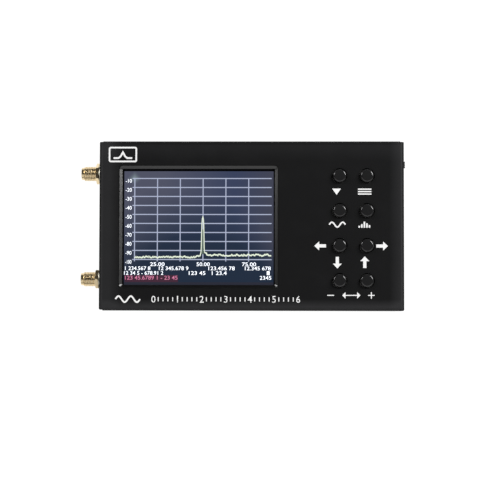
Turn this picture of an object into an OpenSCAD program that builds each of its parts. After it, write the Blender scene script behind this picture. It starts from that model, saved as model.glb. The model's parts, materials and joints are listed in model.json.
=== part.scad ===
// Handheld spectrum analyzer. A folded sheet case holds a recessed colour display and eight
// round keys, with two coaxial jacks on the left wall and a power switch and a charging socket
// on the right wall. It lies on its back cover: +Z is the display side, +X the right wall and
// +Y the top wall. All sizes are in millimetres.

/* [Case] */
// Width across the left and right walls
case_w = 132; // [115:0.5:150]
// Height across the top and bottom walls
case_h = 73.5; // [66:0.5:90]
// Depth from the back cover to the front panel
case_d = 25; // [22.5:0.5:34]
// Thickness of the folded sheet
sheet_t = 1.2; // [1:0.1:1.6]
// Inside radius of the folds
fold_r = 0.3; // [0.1:0.1:1]
// How far the side walls stop short of the top and bottom faces
corner_step = 0.35; // [0.1:0.05:0.8]
// Thickness of the back cover
cover_t = 1.2; // [1:0.1:2]
// Gap between the back cover and the walls
cover_gap = 0.2; // [0.1:0.05:0.5]

/* [Display] */
// Left wall to the lit screen
screen_left = 10.7; // [10:0.1:14]
// Lit screen to the left-hand column of keys
screen_gap = 28.4; // [25:0.1:36]
// Top wall to the lit screen
screen_top = 12.75; // [11:0.05:16]
// Bottom wall to the lit screen
screen_bottom = 12.15; // [11:0.05:16]
// Window margin left of the lit screen
window_left = 2; // [1.6:0.1:3]
// Window margin right of the lit screen
window_right = 1.8; // [1.4:0.1:3]
// Window margin above the lit screen
window_above = 2.1; // [1.4:0.1:3]
// Window margin below the lit screen
window_below = 2.4; // [1.4:0.1:3]
// Corner radius of the bezel's opening
opening_r = 0.3; // [0.2:0.05:2]
// Width of the bezel's sloped face
bezel_slope = 1.25; // [0.8:0.05:1.5]
// Depth of the bezel's sloped face
bezel_drop = 1; // [0.5:0.1:1.4]
// Width of the flat rim outside the slope
bezel_land = 0.15; // [0.1:0.05:0.4]
// How far the bezel's flange reaches behind the panel
bezel_lap = 1.2; // [0.6:0.1:2]
// Thickness of the bezel's flange
bezel_flange_t = 0.8; // [0.5:0.1:1.4]
// Gap between the bezel and its window
bezel_gap = 0.1; // [0.05:0.05:0.3]
// Thickness of the foam gasket
gasket_t = 0.3; // [0.2:0.1:0.8]
// Width of the foam gasket's strips
gasket_w = 1.5; // [0.8:0.1:2]
// Dark border of the display around the lit screen
lcd_border = 3.2; // [3:0.1:5]
// Ledge of the rear glass that carries the driver chip
lcd_ledge = 6; // [4:0.5:8]
// Thickness of each of the two glass sheets
glass_t = 0.65; // [0.5:0.05:1]
// Thickness of the backlight under the glass
backlight_t = 1.3; // [0.9:0.1:2]
// Rim of the backlight tray around the rear glass
tray_rim = 0.5; // [0.3:0.1:0.8]
// Length of the driver chip
driver_l = 20; // [12:1:30]
// Width of the driver chip
driver_w = 1.6; // [1:0.1:2.5]
// Thickness of the driver chip
driver_t = 0.4; // [0.3:0.05:0.6]
// Thickness of the adhesive tape
tape_t = 0.3; // [0.1:0.1:0.6]
// Width of the adhesive tape strips
tape_w = 5; // [3:0.5:10]
// Width of the display's flexible tail
flex_w = 24; // [16:1:36]
// Thickness of the display's flexible tail
flex_t = 0.2; // [0.15:0.05:0.3]
// Length of the tail's bend between the glass and its socket
flex_run = 3; // [2:0.5:6]
// Depth of the tail's socket
flex_socket_d = 4; // [3:0.5:6]
// Height of the tail's socket
flex_socket_h = 1.8; // [1.2:0.1:2.4]

/* [Keys] */
// Right wall to the right-hand column of keys
key_right = 16.1; // [13:0.1:22]
// Distance between the two columns
key_pitch_x = 11.8; // [10:0.1:15]
// Top wall to the first row of keys
key_top = 15.15; // [12:0.05:20]
// Bottom wall to the last row of keys
key_bottom = 13.05; // [12:0.05:20]
// Diameter of a key cap
key_d = 5.7; // [4.6:0.1:8]
// Rounding of a key cap's edge
key_round = 0.8; // [0.3:0.1:1.2]
// Height of a key cap above the panel
key_proud = 1.5; // [0.8:0.1:3]
// Gap between a key cap and its hole
key_gap = 0.45; // [0.2:0.05:0.8]
// Travel of a key
key_travel = 0.25; // [0.15:0.05:0.5]
// Free space left under a pressed cap
key_rest = 0.15; // [0.1:0.05:0.4]

/* [Key switches] */
// Width of a key switch
tact_w = 6; // [5:0.1:7]
// Height of a key switch's housing
tact_h = 3.5; // [3:0.1:3.8]
// Thickness of a key switch's steel cover
tact_cover_t = 0.3; // [0.2:0.05:0.4]
// Length of the cover's side tabs
tact_tab_h = 2; // [1:0.1:2.4]
// Thickness of the housing's floor
tact_floor = 0.9; // [0.6:0.1:1.2]
// Diameter of the housing's cavity
tact_bore = 4.8; // [4.6:0.1:4.9]
// Thickness of the contact plate
tact_contact_t = 0.15; // [0.1:0.05:0.3]
// Diameter of a plunger's stem
stem_d = 3.5; // [3:0.1:3.8]
// Height of a plunger's tip above its board
stem_top = 5; // [4.6:0.1:5.6]
// Diameter of a plunger's shoulder
shoulder_d = 4.4; // [4.1:0.1:4.5]
// Thickness of a plunger's shoulder
shoulder_t = 0.7; // [0.4:0.1:1]
// Running gap around a plunger
stem_gap = 0.1; // [0.05:0.01:0.1]
// Press gap between a cap and its stem
cap_gap = 0.02; // [0.01:0.01:0.05]
// Distance between the legs on one side of a switch
leg_pitch = 4; // [3:0.1:4.4]
// Width of a switch's solder leg
leg_w = 0.7; // [0.5:0.1:1]
// Thickness of a switch's solder leg
leg_t = 0.2; // [0.15:0.05:0.3]
// Length of a solder leg's foot
leg_foot = 1.1; // [0.8:0.1:1.4]

/* [Jacks] */
// Top or bottom wall to the nearer jack's axis, before the shift
jack_inset = 13.4; // [13:0.1:18]
// Shift of both jacks towards the top wall
jack_shift = 0.3; // [0:0.1:0.6]
// Reach of a jack beyond the wall
jack_reach = 9.3; // [8:0.1:12]
// Diameter of the free thread
thread_d = 6.35; // [6.3:0.01:6.4]
// Diameter of the thread's root, in the nut
root_d = 5.6; // [5.5:0.05:5.8]
// Diameter of the plain nose
nose_d = 5.4; // [5.2:0.1:5.8]
// Length of the plain nose
nose_l = 1.15; // [0.4:0.05:1.4]
// Bevel at the start of the thread
thread_bevel = 0.4; // [0.1:0.05:0.45]
// Diameter of the socket in the nose
socket_d = 4.6; // [4.4:0.05:4.8]
// Depth of the socket in the nose
socket_l = 1.9; // [1.5:0.05:2.2]
// Diameter of the insulator
insulator_d = 4.1; // [3.8:0.05:4.3]
// Diameter of the centre contact
contact_d = 1.27; // [1.1:0.01:1.5]
// Diameter of the hole in the centre contact
contact_bore = 0.94; // [0.8:0.02:1]
// Depth of the hole in the centre contact
contact_depth = 3; // [2:0.1:4]
// Diameter of the contact's solder tail
tail_d = 0.8; // [0.6:0.05:1]
// Length of the contact's solder tail
tail_l = 3; // [2:0.1:4]
// Width of the jack's flange inside the wall
flange_w = 8; // [7.2:0.1:9]
// Thickness of the jack's flange
flange_t = 1.7; // [1.2:0.1:2.4]
// Thickness of the jack's solder legs
post_t = 1.2; // [0.8:0.1:1.5]
// Length of the jack's solder legs
post_l = 4.5; // [3:0.1:6]
// Width of a nut across its flats
nut_af = 8; // [7.6:0.1:9]
// Thickness of a nut
nut_t = 1.2; // [1:0.1:3]
// Bevel of a nut's corners
nut_bevel = 0.25; // [0.1:0.05:0.4]
// Turn of the upper nut from the lower one, as each was left when tightened
nut_turn = 30; // [0:5:60]
// Diameter of a washer
washer_d = 8.6; // [8:0.1:9.6]
// Thickness of a washer
washer_t = 1.55; // [0.5:0.05:2]
// Gap between a barrel and what surrounds it
barrel_gap = 0.05; // [0.03:0.01:0.1]
// Gap between a jack's inner pieces
core_gap = 0.02; // [0.01:0.01:0.05]

/* [Boards] */
// Thickness of the circuit boards
board_t = 1.6; // [1.2:0.1:2]
// Gap between the boards and the walls
board_gap = 0.6; // [0.3:0.1:1]
// Corner radius of the boards
board_r = 1; // [0.5:0.5:2]
// Width of the corner pillars across their flats
pillar_af = 4; // [3.6:0.1:4.4]
// Side wall to a corner pillar
pillar_x = 5; // [4.6:0.1:6]
// Top or bottom wall to a corner pillar
pillar_y = 4.5; // [4.2:0.1:5.2]
// Diameter of the threads in the corner pillars
screw_d = 2; // [1.8:0.1:2.2]
// Gap around the threads
screw_gap = 0.04; // [0.02:0.01:0.06]
// Length of the threads in the pillars
screw_l = 3; // [2:0.1:3.4]
// Gap around the threads in the boards
board_hole_gap = 0.2; // [0.1:0.05:0.4]
// Diameter of the cover screws' heads
head_d = 3.8; // [3.4:0.1:4]
// Depth of the cover screws' heads below the back
head_sink = 0.05; // [0:0.01:0.1]
// Length of the shield box on the rear board
shield_l = 48; // [30:1:56]
// Width of the shield box
shield_w = 40; // [24:1:50]
// Height of the shield box
shield_h = 3; // [2.4:0.1:3.6]
// Thickness of the shield box's steel
shield_t = 0.3; // [0.2:0.05:0.5]
// Left end of the rear board to the shield box
shield_x = 9; // [7:0.5:12]
// Width of the radio chips
radio_chip_w = 7; // [4:0.5:8]
// Width of the mixer chips
mixer_chip_w = 5; // [3:0.5:6]
// Height of the radio chips
radio_chip_h = 0.9; // [0.6:0.1:1.4]
// Height of the chips behind the front board
logic_chip_h = 1.2; // [0.8:0.1:1.5]
// Width of the largest chip behind the front board
logic_chip_w = 10; // [7:0.5:12]
// Width of the memory chips behind the front board
memory_chip_w = 5; // [3:0.5:6]
// Length of the memory chips behind the front board
memory_chip_l = 8; // [5:0.5:10]
// Pitch of the board connector's pins
pin_pitch = 2; // [1.5:0.1:2.54]
// Number of pins in a row of the board connector
pin_count = 10; // [4:1:12]
// Width of a square pin
pin_w = 0.5; // [0.4:0.05:0.6]
// Gap around a square pin in its socket
pin_gap = 0.1; // [0.05:0.05:0.2]
// Height of the board connector's header
header_h = 2; // [1.5:0.1:2.5]
// Depth of a pin in the board connector's socket
pin_depth = 2.5; // [1.5:0.1:3]

/* [Power switch and charging socket] */
// Length of the switch along the wall
switch_l = 6.2; // [6:0.1:8]
// Depth of the switch from the wall inwards
switch_w = 3.4; // [2.8:0.1:4.5]
// Height of the switch above its board
switch_h = 3.4; // [3:0.1:4]
// Thickness of the switch's steel frame
frame_t = 0.3; // [0.2:0.05:0.4]
// Thickness of the switch's base
base_t = 0.8; // [0.6:0.1:1]
// Gap between the switch and the wall or the pillar beside it
switch_gap = 0.3; // [0.15:0.05:0.6]
// Length of the knob along the wall
knob_l = 2.8; // [2:0.1:3]
// Thickness of the knob
knob_t = 1.7; // [1.2:0.1:1.8]
// Reach of the knob beyond the wall
knob_reach = 1.5; // [1:0.1:2.5]
// Travel of the knob
knob_travel = 2; // [1.5:0.1:2.2]
// Gap around the knob
knob_gap = 0.25; // [0.15:0.05:0.35]
// Running gap under the knob's slider
slider_gap = 0.1; // [0.05:0.01:0.15]
// Diameter of the switch's pins
switch_pin_d = 0.6; // [0.4:0.1:0.8]
// Distance between the switch's pins
switch_pin_pitch = 1.8; // [1.5:0.1:2]
// Width of the charging socket
usb_w = 8.94; // [8.6:0.02:9.4]
// Height of the charging socket
usb_h = 3.26; // [3:0.02:3.6]
// Depth of the charging socket
usb_l = 7.3; // [6.5:0.1:9]
// Thickness of the charging socket's shell
usb_t = 0.3; // [0.2:0.05:0.4]
// Width of the charging socket's tongue
tongue_w = 6.7; // [6:0.1:7.2]
// Thickness of the charging socket's tongue
tongue_t = 0.7; // [0.5:0.05:0.9]
// Length of the charging socket's tongue
tongue_l = 4.4; // [3:0.1:5]
// Mouth of the charging socket to its tongue
tongue_inset = 0.6; // [0.3:0.1:1.2]
// Gap between the charging socket and the wall
usb_gap = 0.25; // [0.1:0.05:0.5]

/* [Battery] */
// Length of the battery
battery_l = 66; // [40:1:74]
// Width of the battery
battery_w = 48; // [30:1:54]
// Thickness of the battery
battery_t = 6.8; // [4:0.1:7.2]
// Rounding of the battery's long edges
battery_r = 2.4; // [1:0.1:3]
// Left wall to the battery
battery_x = 16; // [12:0.5:20]
// Diameter of a battery lead
lead_d = 1.3; // [1:0.1:1.6]
// Length of the free leads between battery and plug
lead_run = 9; // [7:0.5:14]
// Sideways bow of the free leads
lead_bow = 2.5; // [1:0.1:3]
// Distance between the two leads
lead_pitch = 2; // [1.8:0.1:2.5]
// Length of the lead plug
plug_l = 6; // [5:0.1:8]
// Width of the lead plug
plug_w = 5.8; // [5:0.1:7]
// Thickness of the lead plug
plug_t = 3.4; // [2.8:0.1:3.8]
// Depth of the plug in its socket
plug_in = 4; // [3:0.1:4.5]
// Wall of the plug's socket
plug_wall = 0.9; // [0.6:0.1:1.2]
// Gap between the plug and its socket
plug_gap = 0.1; // [0.05:0.05:0.2]

/* [Hidden] */
$fn = 64;
// Overshoot of a cut past the face it opens
cut = 1;

KEYS = ["marker", "menu", "frequency", "amplitude", "left", "right", "down", "up"];
key_columns = 2;

// Walls and levels
wall_x = case_w / 2;
wall_y = case_h / 2;
inner_x = wall_x - sheet_t;
inner_y = wall_y - sheet_t;
fold_out_r = fold_r + sheet_t;
bend_x = wall_x - fold_out_r;
panel_z = case_d - sheet_t;
bezel_z = panel_z - bezel_flange_t;
lcd_front_z = bezel_z - gasket_t;
rear_glass_z = lcd_front_z - 2 * glass_t;
lcd_back_z = rear_glass_z - backlight_t;
front_board_top = lcd_back_z - tape_t;
front_board_z = front_board_top - board_t;
jack_z = case_d / 2;
rear_board_top = jack_z - tail_d / 2 - core_gap;
rear_board_z = rear_board_top - board_t;

// Display
screen_x0 = screen_left - wall_x;
screen_x1 = wall_x - key_right - (key_columns - 1) * key_pitch_x - screen_gap;
screen_y0 = screen_bottom - wall_y;
screen_y1 = wall_y - screen_top;
window_x0 = screen_x0 - window_left;
window_x1 = screen_x1 + window_right;
window_y0 = screen_y0 - window_below;
window_y1 = screen_y1 + window_above;
window_r = opening_r + bezel_slope + bezel_land;
bezel_w = window_x1 - window_x0;
bezel_h = window_y1 - window_y0;
opening_w = bezel_w - 2 * (bezel_slope + bezel_land);
opening_h = bezel_h - 2 * (bezel_slope + bezel_land);
bezel_at = [(window_x0 + window_x1) / 2, (window_y0 + window_y1) / 2];
lcd_x0 = screen_x0 - lcd_border;
front_glass_x1 = screen_x1 + lcd_border;
lcd_x1 = front_glass_x1 + lcd_ledge;
lcd_y0 = screen_y0 - lcd_border;
lcd_y1 = screen_y1 + lcd_border;
lcd_mid_y = (lcd_y0 + lcd_y1) / 2;
flex_socket_x = lcd_x1 + flex_run;

// Keys and their switches
key_rows = len(KEYS) / key_columns;
key_pitch_y = (case_h - key_top - key_bottom) / (key_rows - 1);
key_hole_d = key_d + 2 * key_gap;
tact_z = front_board_top;
tact_cover_z = tact_z + tact_h - tact_cover_t;
plunger_tip_z = tact_z + stem_top;
cap_z = tact_z + tact_h + key_travel + key_rest;
cap_top_z = case_d + key_proud;
shoulder_z = tact_cover_z - stem_gap - shoulder_t;
nub_z = tact_z + tact_floor + tact_contact_t + key_travel + key_rest;
nub_d = stem_d / 2;

// Jacks, measured outwards from the wall's inner face
jack_tip = sheet_t + jack_reach;
washer_out = sheet_t + washer_t;
nut_out = washer_out + nut_t;
contact_tip = jack_tip - socket_l;

// Boards
front_board_w = 2 * (inner_x - board_gap);
board_h = 2 * (inner_y - board_gap);
rear_board_x0 = -inner_x + flange_t + core_gap;
rear_board_x1 = inner_x - board_gap;
pillars = [for (x = [-1, 1], y = [-1, 1]) [x * (wall_x - pillar_x), y * (wall_y - pillar_y)]];
thread_hole_d = screw_d + 2 * screw_gap;
board_hole_d = screw_d + 2 * board_hole_gap;
shield_x0 = rear_board_x0 + shield_x;
header_w = 2 * pin_pitch;
header_x = shield_x0 + shield_l + 2 * header_w;

// Power switch and charging socket
switch_y1 = wall_y - pillar_y - pillar_af / 2 / cos(30) - switch_gap;
switch_y = switch_y1 - switch_l / 2;
switch_x1 = inner_x - switch_gap;
switch_x0 = switch_x1 - switch_w;
knob_y = switch_y + knob_travel / 2;
slider_l = switch_l - 2 * frame_t - knob_travel - 2 * knob_gap;
slider_w = switch_w - 2 * frame_t - 2 * knob_gap;
slider_z = rear_board_top + base_t + slider_gap;
slider_h = switch_h - base_t - frame_t - slider_gap - knob_gap;
knob_z = slider_z + slider_h / 2;
usb_z = rear_board_top + usb_h / 2;

// Battery
battery_x0 = battery_x - wall_x;
battery_x1 = battery_x0 + battery_l;
battery_z = cover_t + tape_t;
plug_socket_h = plug_t + 2 * (plug_wall + plug_gap);
plug_socket_w = plug_w + 2 * (plug_wall + plug_gap);
plug_z = rear_board_z - plug_socket_h / 2;
plug_x = battery_x1 + lead_run;
plug_socket_x = plug_x + plug_l - plug_in;
lead_z = min(plug_z, battery_z + battery_t - battery_r);

function key_at(i) = [
    wall_x - key_right - (key_columns - 1 - i % key_columns) * key_pitch_x,
    wall_y - key_top - floor(i / key_columns) * key_pitch_y
];

// Shared shapes

module rounded_rect(w, h, r) {
    square([w - 2 * r, h], center = true);
    square([w, h - 2 * r], center = true);
    for (x = [-1, 1], y = [-1, 1])
        translate([x * (w / 2 - r), y * (h / 2 - r)])
            circle(r);
}

module slot(w, h) {
    square([w - h, h], center = true);
    for (x = [-1, 1])
        translate([x * (w - h) / 2, 0])
            circle(d = h);
}

module plate(w, h, r, z0, z1) {
    translate([0, 0, z0])
        linear_extrude(z1 - z0)
            rounded_rect(w, h, r);
}

module block(x0, x1, y0, y1, z0, z1) {
    translate([x0, y0, z0])
        cube([x1 - x0, y1 - y0, z1 - z0]);
}

// A ring-shaped strip between two rectangles
module strip_frame(x0, x1, y0, y1, w, z0, z1) {
    difference() {
        block(x0, x1, y0, y1, z0, z1);
        block(x0 + w, x1 - w, y0 + w, y1 - w, z0 - cut, z1 + cut);
    }
}

module hex_bar(af, z0, z1) {
    translate([0, 0, z0])
        rotate(30)
            cylinder(d = af / cos(30), h = z1 - z0, $fn = 6);
}

module rod(d, z0, z1) {
    translate([0, 0, z0])
        cylinder(d = d, h = z1 - z0);
}

module at_pillars() {
    for (p = pillars)
        translate(p)
            children();
}

module at_keys() {
    for (i = [0 : len(KEYS) - 1])
        translate(key_at(i))
            children();
}

// Places a jack's pieces: their +Z points out of the left wall and their +X to the front
module at_jack(side) {
    translate([-inner_x, side * (wall_y - jack_inset) + jack_shift, jack_z])
        rotate([0, -90, 0])
            children();
}

module at_jacks() {
    for (side = [-1, 1])
        at_jack(side)
            children();
}

// A flat chip with the dimple that marks its first pin
module chip(x, y, w, d, z0, z1, mark_z) {
    dimple = 0.8;
    difference() {
        block(x - w / 2, x + w / 2, y - d / 2, y + d / 2, z0, z1);
        translate([x - w / 2 + dimple, y + d / 2 - dimple, mark_z])
            cylinder(d = dimple, h = dimple / 4, center = true);
    }
}

// Case

module channel_outline(w, d, r) {
    translate([-w / 2, 0])
        square([w, d - r]);
    translate([r - w / 2, 0])
        square([w - 2 * r, d]);
    for (side = [-1, 1])
        translate([side * (w / 2 - r), d - r])
            circle(r);
}

// Cross-section of the sheet folded back along two opposite edges
module channel_section(w) {
    difference() {
        channel_outline(w, case_d, fold_out_r);
        translate([0, -cut])
            channel_outline(w - 2 * sheet_t, panel_z + cut, fold_r);
    }
}

// The panel with its top and bottom folds, as far as the bend lines of the side folds
module panel_sheet() {
    rotate([90, 0, 90])
        linear_extrude(2 * bend_x, center = true)
            channel_section(case_h);
}

// The side folds, which stop short of the top and bottom faces
module side_folds() {
    difference() {
        rotate([90, 0, 0])
            linear_extrude(case_h - 2 * corner_step, center = true)
                channel_section(case_w);
        block(-bend_x, bend_x, -wall_y, wall_y, -cut, case_d + cut);
    }
}

module wall_openings() {
    at_jacks()
        rod(thread_d + 2 * barrel_gap, -cut, sheet_t + cut);
    translate([inner_x - cut, switch_y, knob_z])
        rotate([90, 0, 90])
            linear_extrude(sheet_t + 2 * cut)
                square([knob_l + knob_travel + 2 * knob_gap, knob_t + 2 * knob_gap], center = true);
    translate([inner_x - cut, 0, usb_z])
        rotate([90, 0, 90])
            linear_extrude(sheet_t + 2 * cut)
                slot(usb_w + 2 * usb_gap, usb_h + 2 * usb_gap);
}

module front_shell() {
    color([0.13, 0.13, 0.14])
    difference() {
        union() {
            panel_sheet();
            side_folds();
        }
        translate(bezel_at)
            plate(bezel_w + 2 * bezel_gap, bezel_h + 2 * bezel_gap, window_r + bezel_gap,
                panel_z - cut, case_d + cut);
        at_keys()
            rod(key_hole_d, panel_z - cut, case_d + cut);
        wall_openings();
    }
}

module countersink() {
    translate([0, 0, head_sink])
        cylinder(d1 = head_d, d2 = screw_d, h = (head_d - screw_d) / 2);
}

module back_cover() {
    color([0.13, 0.13, 0.14])
    difference() {
        plate(2 * (inner_x - cover_gap), 2 * (inner_y - cover_gap), board_r, 0, cover_t);
        at_pillars() {
            rod(head_d + 2 * screw_gap, -cut, head_sink);
            translate([0, 0, head_sink])
                cylinder(d1 = head_d + 2 * screw_gap, d2 = thread_hole_d, h = (head_d - screw_d) / 2);
            rod(thread_hole_d, -cut, cover_t + cut);
        }
    }
}

module cover_screws() {
    drive_d = head_d / 2;
    drive_w = head_d / 8;
    drive_depth = (head_d - screw_d) / 4;
    color([0.2, 0.2, 0.2])
    at_pillars()
        difference() {
            union() {
                countersink();
                rod(screw_d, head_sink, cover_t + screw_l);
            }
            translate([0, 0, head_sink])
                for (turn = [0, 90])
                    rotate(turn)
                        cube([drive_d, drive_w, 2 * drive_depth], center = true);
        }
}

module panel_standoffs() {
    color("silver")
    at_pillars()
        difference() {
            hex_bar(pillar_af, front_board_top, panel_z);
            rod(thread_hole_d, front_board_top - cut, front_board_top + screw_l + screw_gap);
        }
}

module board_spacers() {
    color("silver")
    at_pillars()
        difference() {
            union() {
                hex_bar(pillar_af, rear_board_top, front_board_z);
                rod(screw_d, rear_board_top, front_board_top + screw_l);
            }
            rod(thread_hole_d, rear_board_top - cut, rear_board_top + screw_l + screw_gap);
        }
}

module rear_pillars() {
    color("silver")
    at_pillars()
        difference() {
            union() {
                hex_bar(pillar_af, cover_t, rear_board_z);
                rod(screw_d, cover_t, rear_board_top + screw_l);
            }
            rod(thread_hole_d, cover_t - cut, cover_t + screw_l + screw_gap);
        }
}

// Display

module bezel_funnel() {
    slope_z = case_d - bezel_drop;
    hull()
        for (x = [-1, 1], y = [-1, 1])
            translate([x * (opening_w / 2 - opening_r), y * (opening_h / 2 - opening_r), slope_z])
                cylinder(r1 = opening_r, r2 = opening_r + bezel_slope, h = bezel_drop, $fn = 32);
}

module display_bezel() {
    color([0.2, 0.2, 0.2])
    translate(bezel_at)
        difference() {
            union() {
                plate(bezel_w + 2 * bezel_lap, bezel_h + 2 * bezel_lap, window_r, bezel_z, panel_z);
                plate(bezel_w, bezel_h, window_r, panel_z, case_d);
            }
            bezel_funnel();
            plate(opening_w, opening_h, opening_r, bezel_z - cut, case_d - bezel_drop);
        }
}

module display_gasket() {
    color([0.1, 0.1, 0.1])
    translate(bezel_at)
        strip_frame(-opening_w / 2 - gasket_w, opening_w / 2 + gasket_w,
            -opening_h / 2 - gasket_w, opening_h / 2 + gasket_w, gasket_w, lcd_front_z, bezel_z);
}

module lcd_glass() {
    color([0.16, 0.2, 0.34])
    union() {
        block(lcd_x0 + tray_rim, lcd_x1 - tray_rim, lcd_y0 + tray_rim, lcd_y1 - tray_rim,
            rear_glass_z, rear_glass_z + glass_t);
        block(lcd_x0 + tray_rim, front_glass_x1, lcd_y0 + tray_rim, lcd_y1 - tray_rim,
            rear_glass_z + glass_t, lcd_front_z);
    }
}

module lcd_driver_chip() {
    chip_x = front_glass_x1 + lcd_ledge / 4;
    color([0.1, 0.1, 0.1])
    block(chip_x - driver_w / 2, chip_x + driver_w / 2, lcd_mid_y - driver_l / 2,
        lcd_mid_y + driver_l / 2, rear_glass_z + glass_t, rear_glass_z + glass_t + driver_t);
}

module lcd_backlight() {
    color("silver")
    difference() {
        block(lcd_x0, lcd_x1, lcd_y0, lcd_y1, lcd_back_z, rear_glass_z + glass_t);
        block(lcd_x0 + tray_rim, lcd_x1 - tray_rim, lcd_y0 + tray_rim, lcd_y1 - tray_rim,
            rear_glass_z, lcd_front_z);
    }
}

module lcd_tape() {
    color("white")
    strip_frame(lcd_x0, lcd_x1, lcd_y0, lcd_y1, tape_w, front_board_top, lcd_back_z);
}

// The tail leaves the ledge of the rear glass and dips to its socket in one soft S
function flex_line(t) = let (
    x0 = lcd_x1 - tray_rim - lcd_ledge / 3,
    x1 = flex_socket_x + flex_socket_d / 2,
    z0 = rear_glass_z + glass_t,
    z1 = front_board_top + flex_socket_h / 2,
    bend = min(max((x0 + t * (x1 - x0) - lcd_x1) / flex_run, 0), 1)
) [x0 + t * (x1 - x0), z0 + (z1 - z0) * (1 - cos(180 * bend)) / 2];

module lcd_flex() {
    steps = 40;
    lower = [for (i = [0 : steps]) flex_line(i / steps)];
    upper = [for (i = [steps : -1 : 0]) flex_line(i / steps) + [0, flex_t]];
    color("orange")
    translate([0, lcd_mid_y + flex_w / 2, 0])
        rotate([90, 0, 0])
            linear_extrude(flex_w)
                polygon(concat(lower, upper));
}

module lcd_flex_socket() {
    wall = 2 * flex_t;
    side = flex_socket_d / 2;
    color([0.92, 0.9, 0.82])
    difference() {
        block(flex_socket_x, flex_socket_x + flex_socket_d, lcd_mid_y - flex_w / 2 - side,
            lcd_mid_y + flex_w / 2 + side, front_board_top, front_board_top + flex_socket_h);
        block(flex_socket_x - cut, flex_socket_x + flex_socket_d - wall, lcd_mid_y - flex_w / 2 - wall,
            lcd_mid_y + flex_w / 2 + wall, front_board_top + flex_socket_h / 2 - core_gap,
            front_board_top + flex_socket_h / 2 + flex_t + core_gap);
    }
}

// Boards

module front_board() {
    color("darkgreen")
    difference() {
        plate(front_board_w, board_h, board_r, front_board_z, front_board_top);
        at_pillars()
            rod(board_hole_d, front_board_z - cut, front_board_top + cut);
    }
}

module logic_chips() {
    mark_z = front_board_z - logic_chip_h;
    row_x = key_at(0)[0];
    row_y = key_at(2)[1];
    color([0.1, 0.1, 0.1]) {
        chip(row_x, row_y, logic_chip_w, logic_chip_w, mark_z, front_board_z, mark_z);
        for (at = [[row_x, row_y - key_pitch_y], [-row_x, row_y]])
            chip(at[0], at[1], memory_chip_w, memory_chip_l, mark_z, front_board_z, mark_z);
    }
}

module pin_rows() {
    for (row = [-1, 1], i = [0 : pin_count - 1])
        translate([header_x + row * pin_pitch / 2, (i - (pin_count - 1) / 2) * pin_pitch, 0])
            children();
}

module header_block(z0, z1) {
    block(header_x - header_w / 2, header_x + header_w / 2, -pin_count * pin_pitch / 2,
        pin_count * pin_pitch / 2, z0, z1);
}

module board_header() {
    color([0.1, 0.1, 0.1])
    union() {
        header_block(rear_board_top, rear_board_top + header_h);
        pin_rows()
            block(-pin_w / 2, pin_w / 2, -pin_w / 2, pin_w / 2, rear_board_top,
                rear_board_top + header_h + pin_depth);
    }
}

module board_socket() {
    hole = pin_w + 2 * pin_gap;
    color([0.1, 0.1, 0.1])
    difference() {
        header_block(rear_board_top + header_h, front_board_z);
        pin_rows()
            block(-hole / 2, hole / 2, -hole / 2, hole / 2, rear_board_top,
                rear_board_top + header_h + pin_depth + pin_gap);
    }
}

module rear_board() {
    color("darkgreen")
    difference() {
        translate([(rear_board_x0 + rear_board_x1) / 2, 0])
            plate(rear_board_x1 - rear_board_x0, board_h, board_r, rear_board_z, rear_board_top);
        at_pillars()
            rod(board_hole_d, rear_board_z - cut, rear_board_top + cut);
        at_switch_pins()
            rod(switch_pin_d + 2 * board_hole_gap, rear_board_z - cut, rear_board_top + cut);
    }
}

module radio_shield() {
    color("lightgray")
    difference() {
        block(shield_x0, shield_x0 + shield_l, -shield_w / 2, shield_w / 2, rear_board_top,
            rear_board_top + shield_h);
        block(shield_x0 + shield_t, shield_x0 + shield_l - shield_t, shield_t - shield_w / 2,
            shield_w / 2 - shield_t, rear_board_top - cut, rear_board_top + shield_h - shield_t);
    }
}

module radio_chips() {
    top = rear_board_top + radio_chip_h;
    mid = shield_x0 + shield_l / 2;
    color([0.1, 0.1, 0.1]) {
        for (side = [-1, 1])
            chip(mid - shield_l / 4, side * shield_w / 4, mixer_chip_w, mixer_chip_w,
                rear_board_top, top, top);
        for (x = [mid, mid + shield_l / 4])
            chip(x, 0, radio_chip_w, radio_chip_w, rear_board_top, top, top);
    }
}

// Jacks

// Outline of a barrel from its axis: through the wall, in the nut, along the free thread to the nose
module barrel_profile() {
    thread_end = jack_tip - nose_l;
    polygon([
        [0, 0],
        [thread_d / 2, 0],
        [thread_d / 2, washer_out],
        [root_d / 2, washer_out],
        [root_d / 2, nut_out],
        [thread_d / 2, nut_out],
        [thread_d / 2, thread_end - thread_bevel],
        [thread_d / 2 - thread_bevel, thread_end],
        [nose_d / 2, thread_end],
        [nose_d / 2, jack_tip],
        [0, jack_tip]
    ]);
}

module jack(side) {
    leg_x = jack_z - rear_board_top;
    color("goldenrod")
    at_jack(side)
        difference() {
            union() {
                rotate_extrude()
                    barrel_profile();
                block(-flange_w / 2, flange_w / 2, -flange_w / 2, flange_w / 2, -flange_t, 0);
                for (edge = [-1, 1]) {
                    leg_y = edge * (flange_w - post_t) / 2;
                    block(core_gap - leg_x, flange_w / 2, leg_y - post_t / 2, leg_y + post_t / 2,
                        -flange_t - post_l, 0);
                    block(-flange_w / 2, -leg_x - board_t - core_gap, leg_y - post_t / 2, leg_y + post_t / 2,
                        -flange_t - post_l, 0);
                }
            }
            rod(insulator_d + 2 * core_gap, -flange_t - cut, jack_tip + cut);
            rod(socket_d, contact_tip, jack_tip + cut);
        }
}

module upper_jack() {
    jack(1);
}

module lower_jack() {
    jack(-1);
}

module jack_insulators() {
    color("ivory")
    at_jacks()
        difference() {
            rod(insulator_d, -flange_t, contact_tip);
            rod(contact_d + 2 * core_gap, -flange_t - cut, contact_tip + cut);
        }
}

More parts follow.
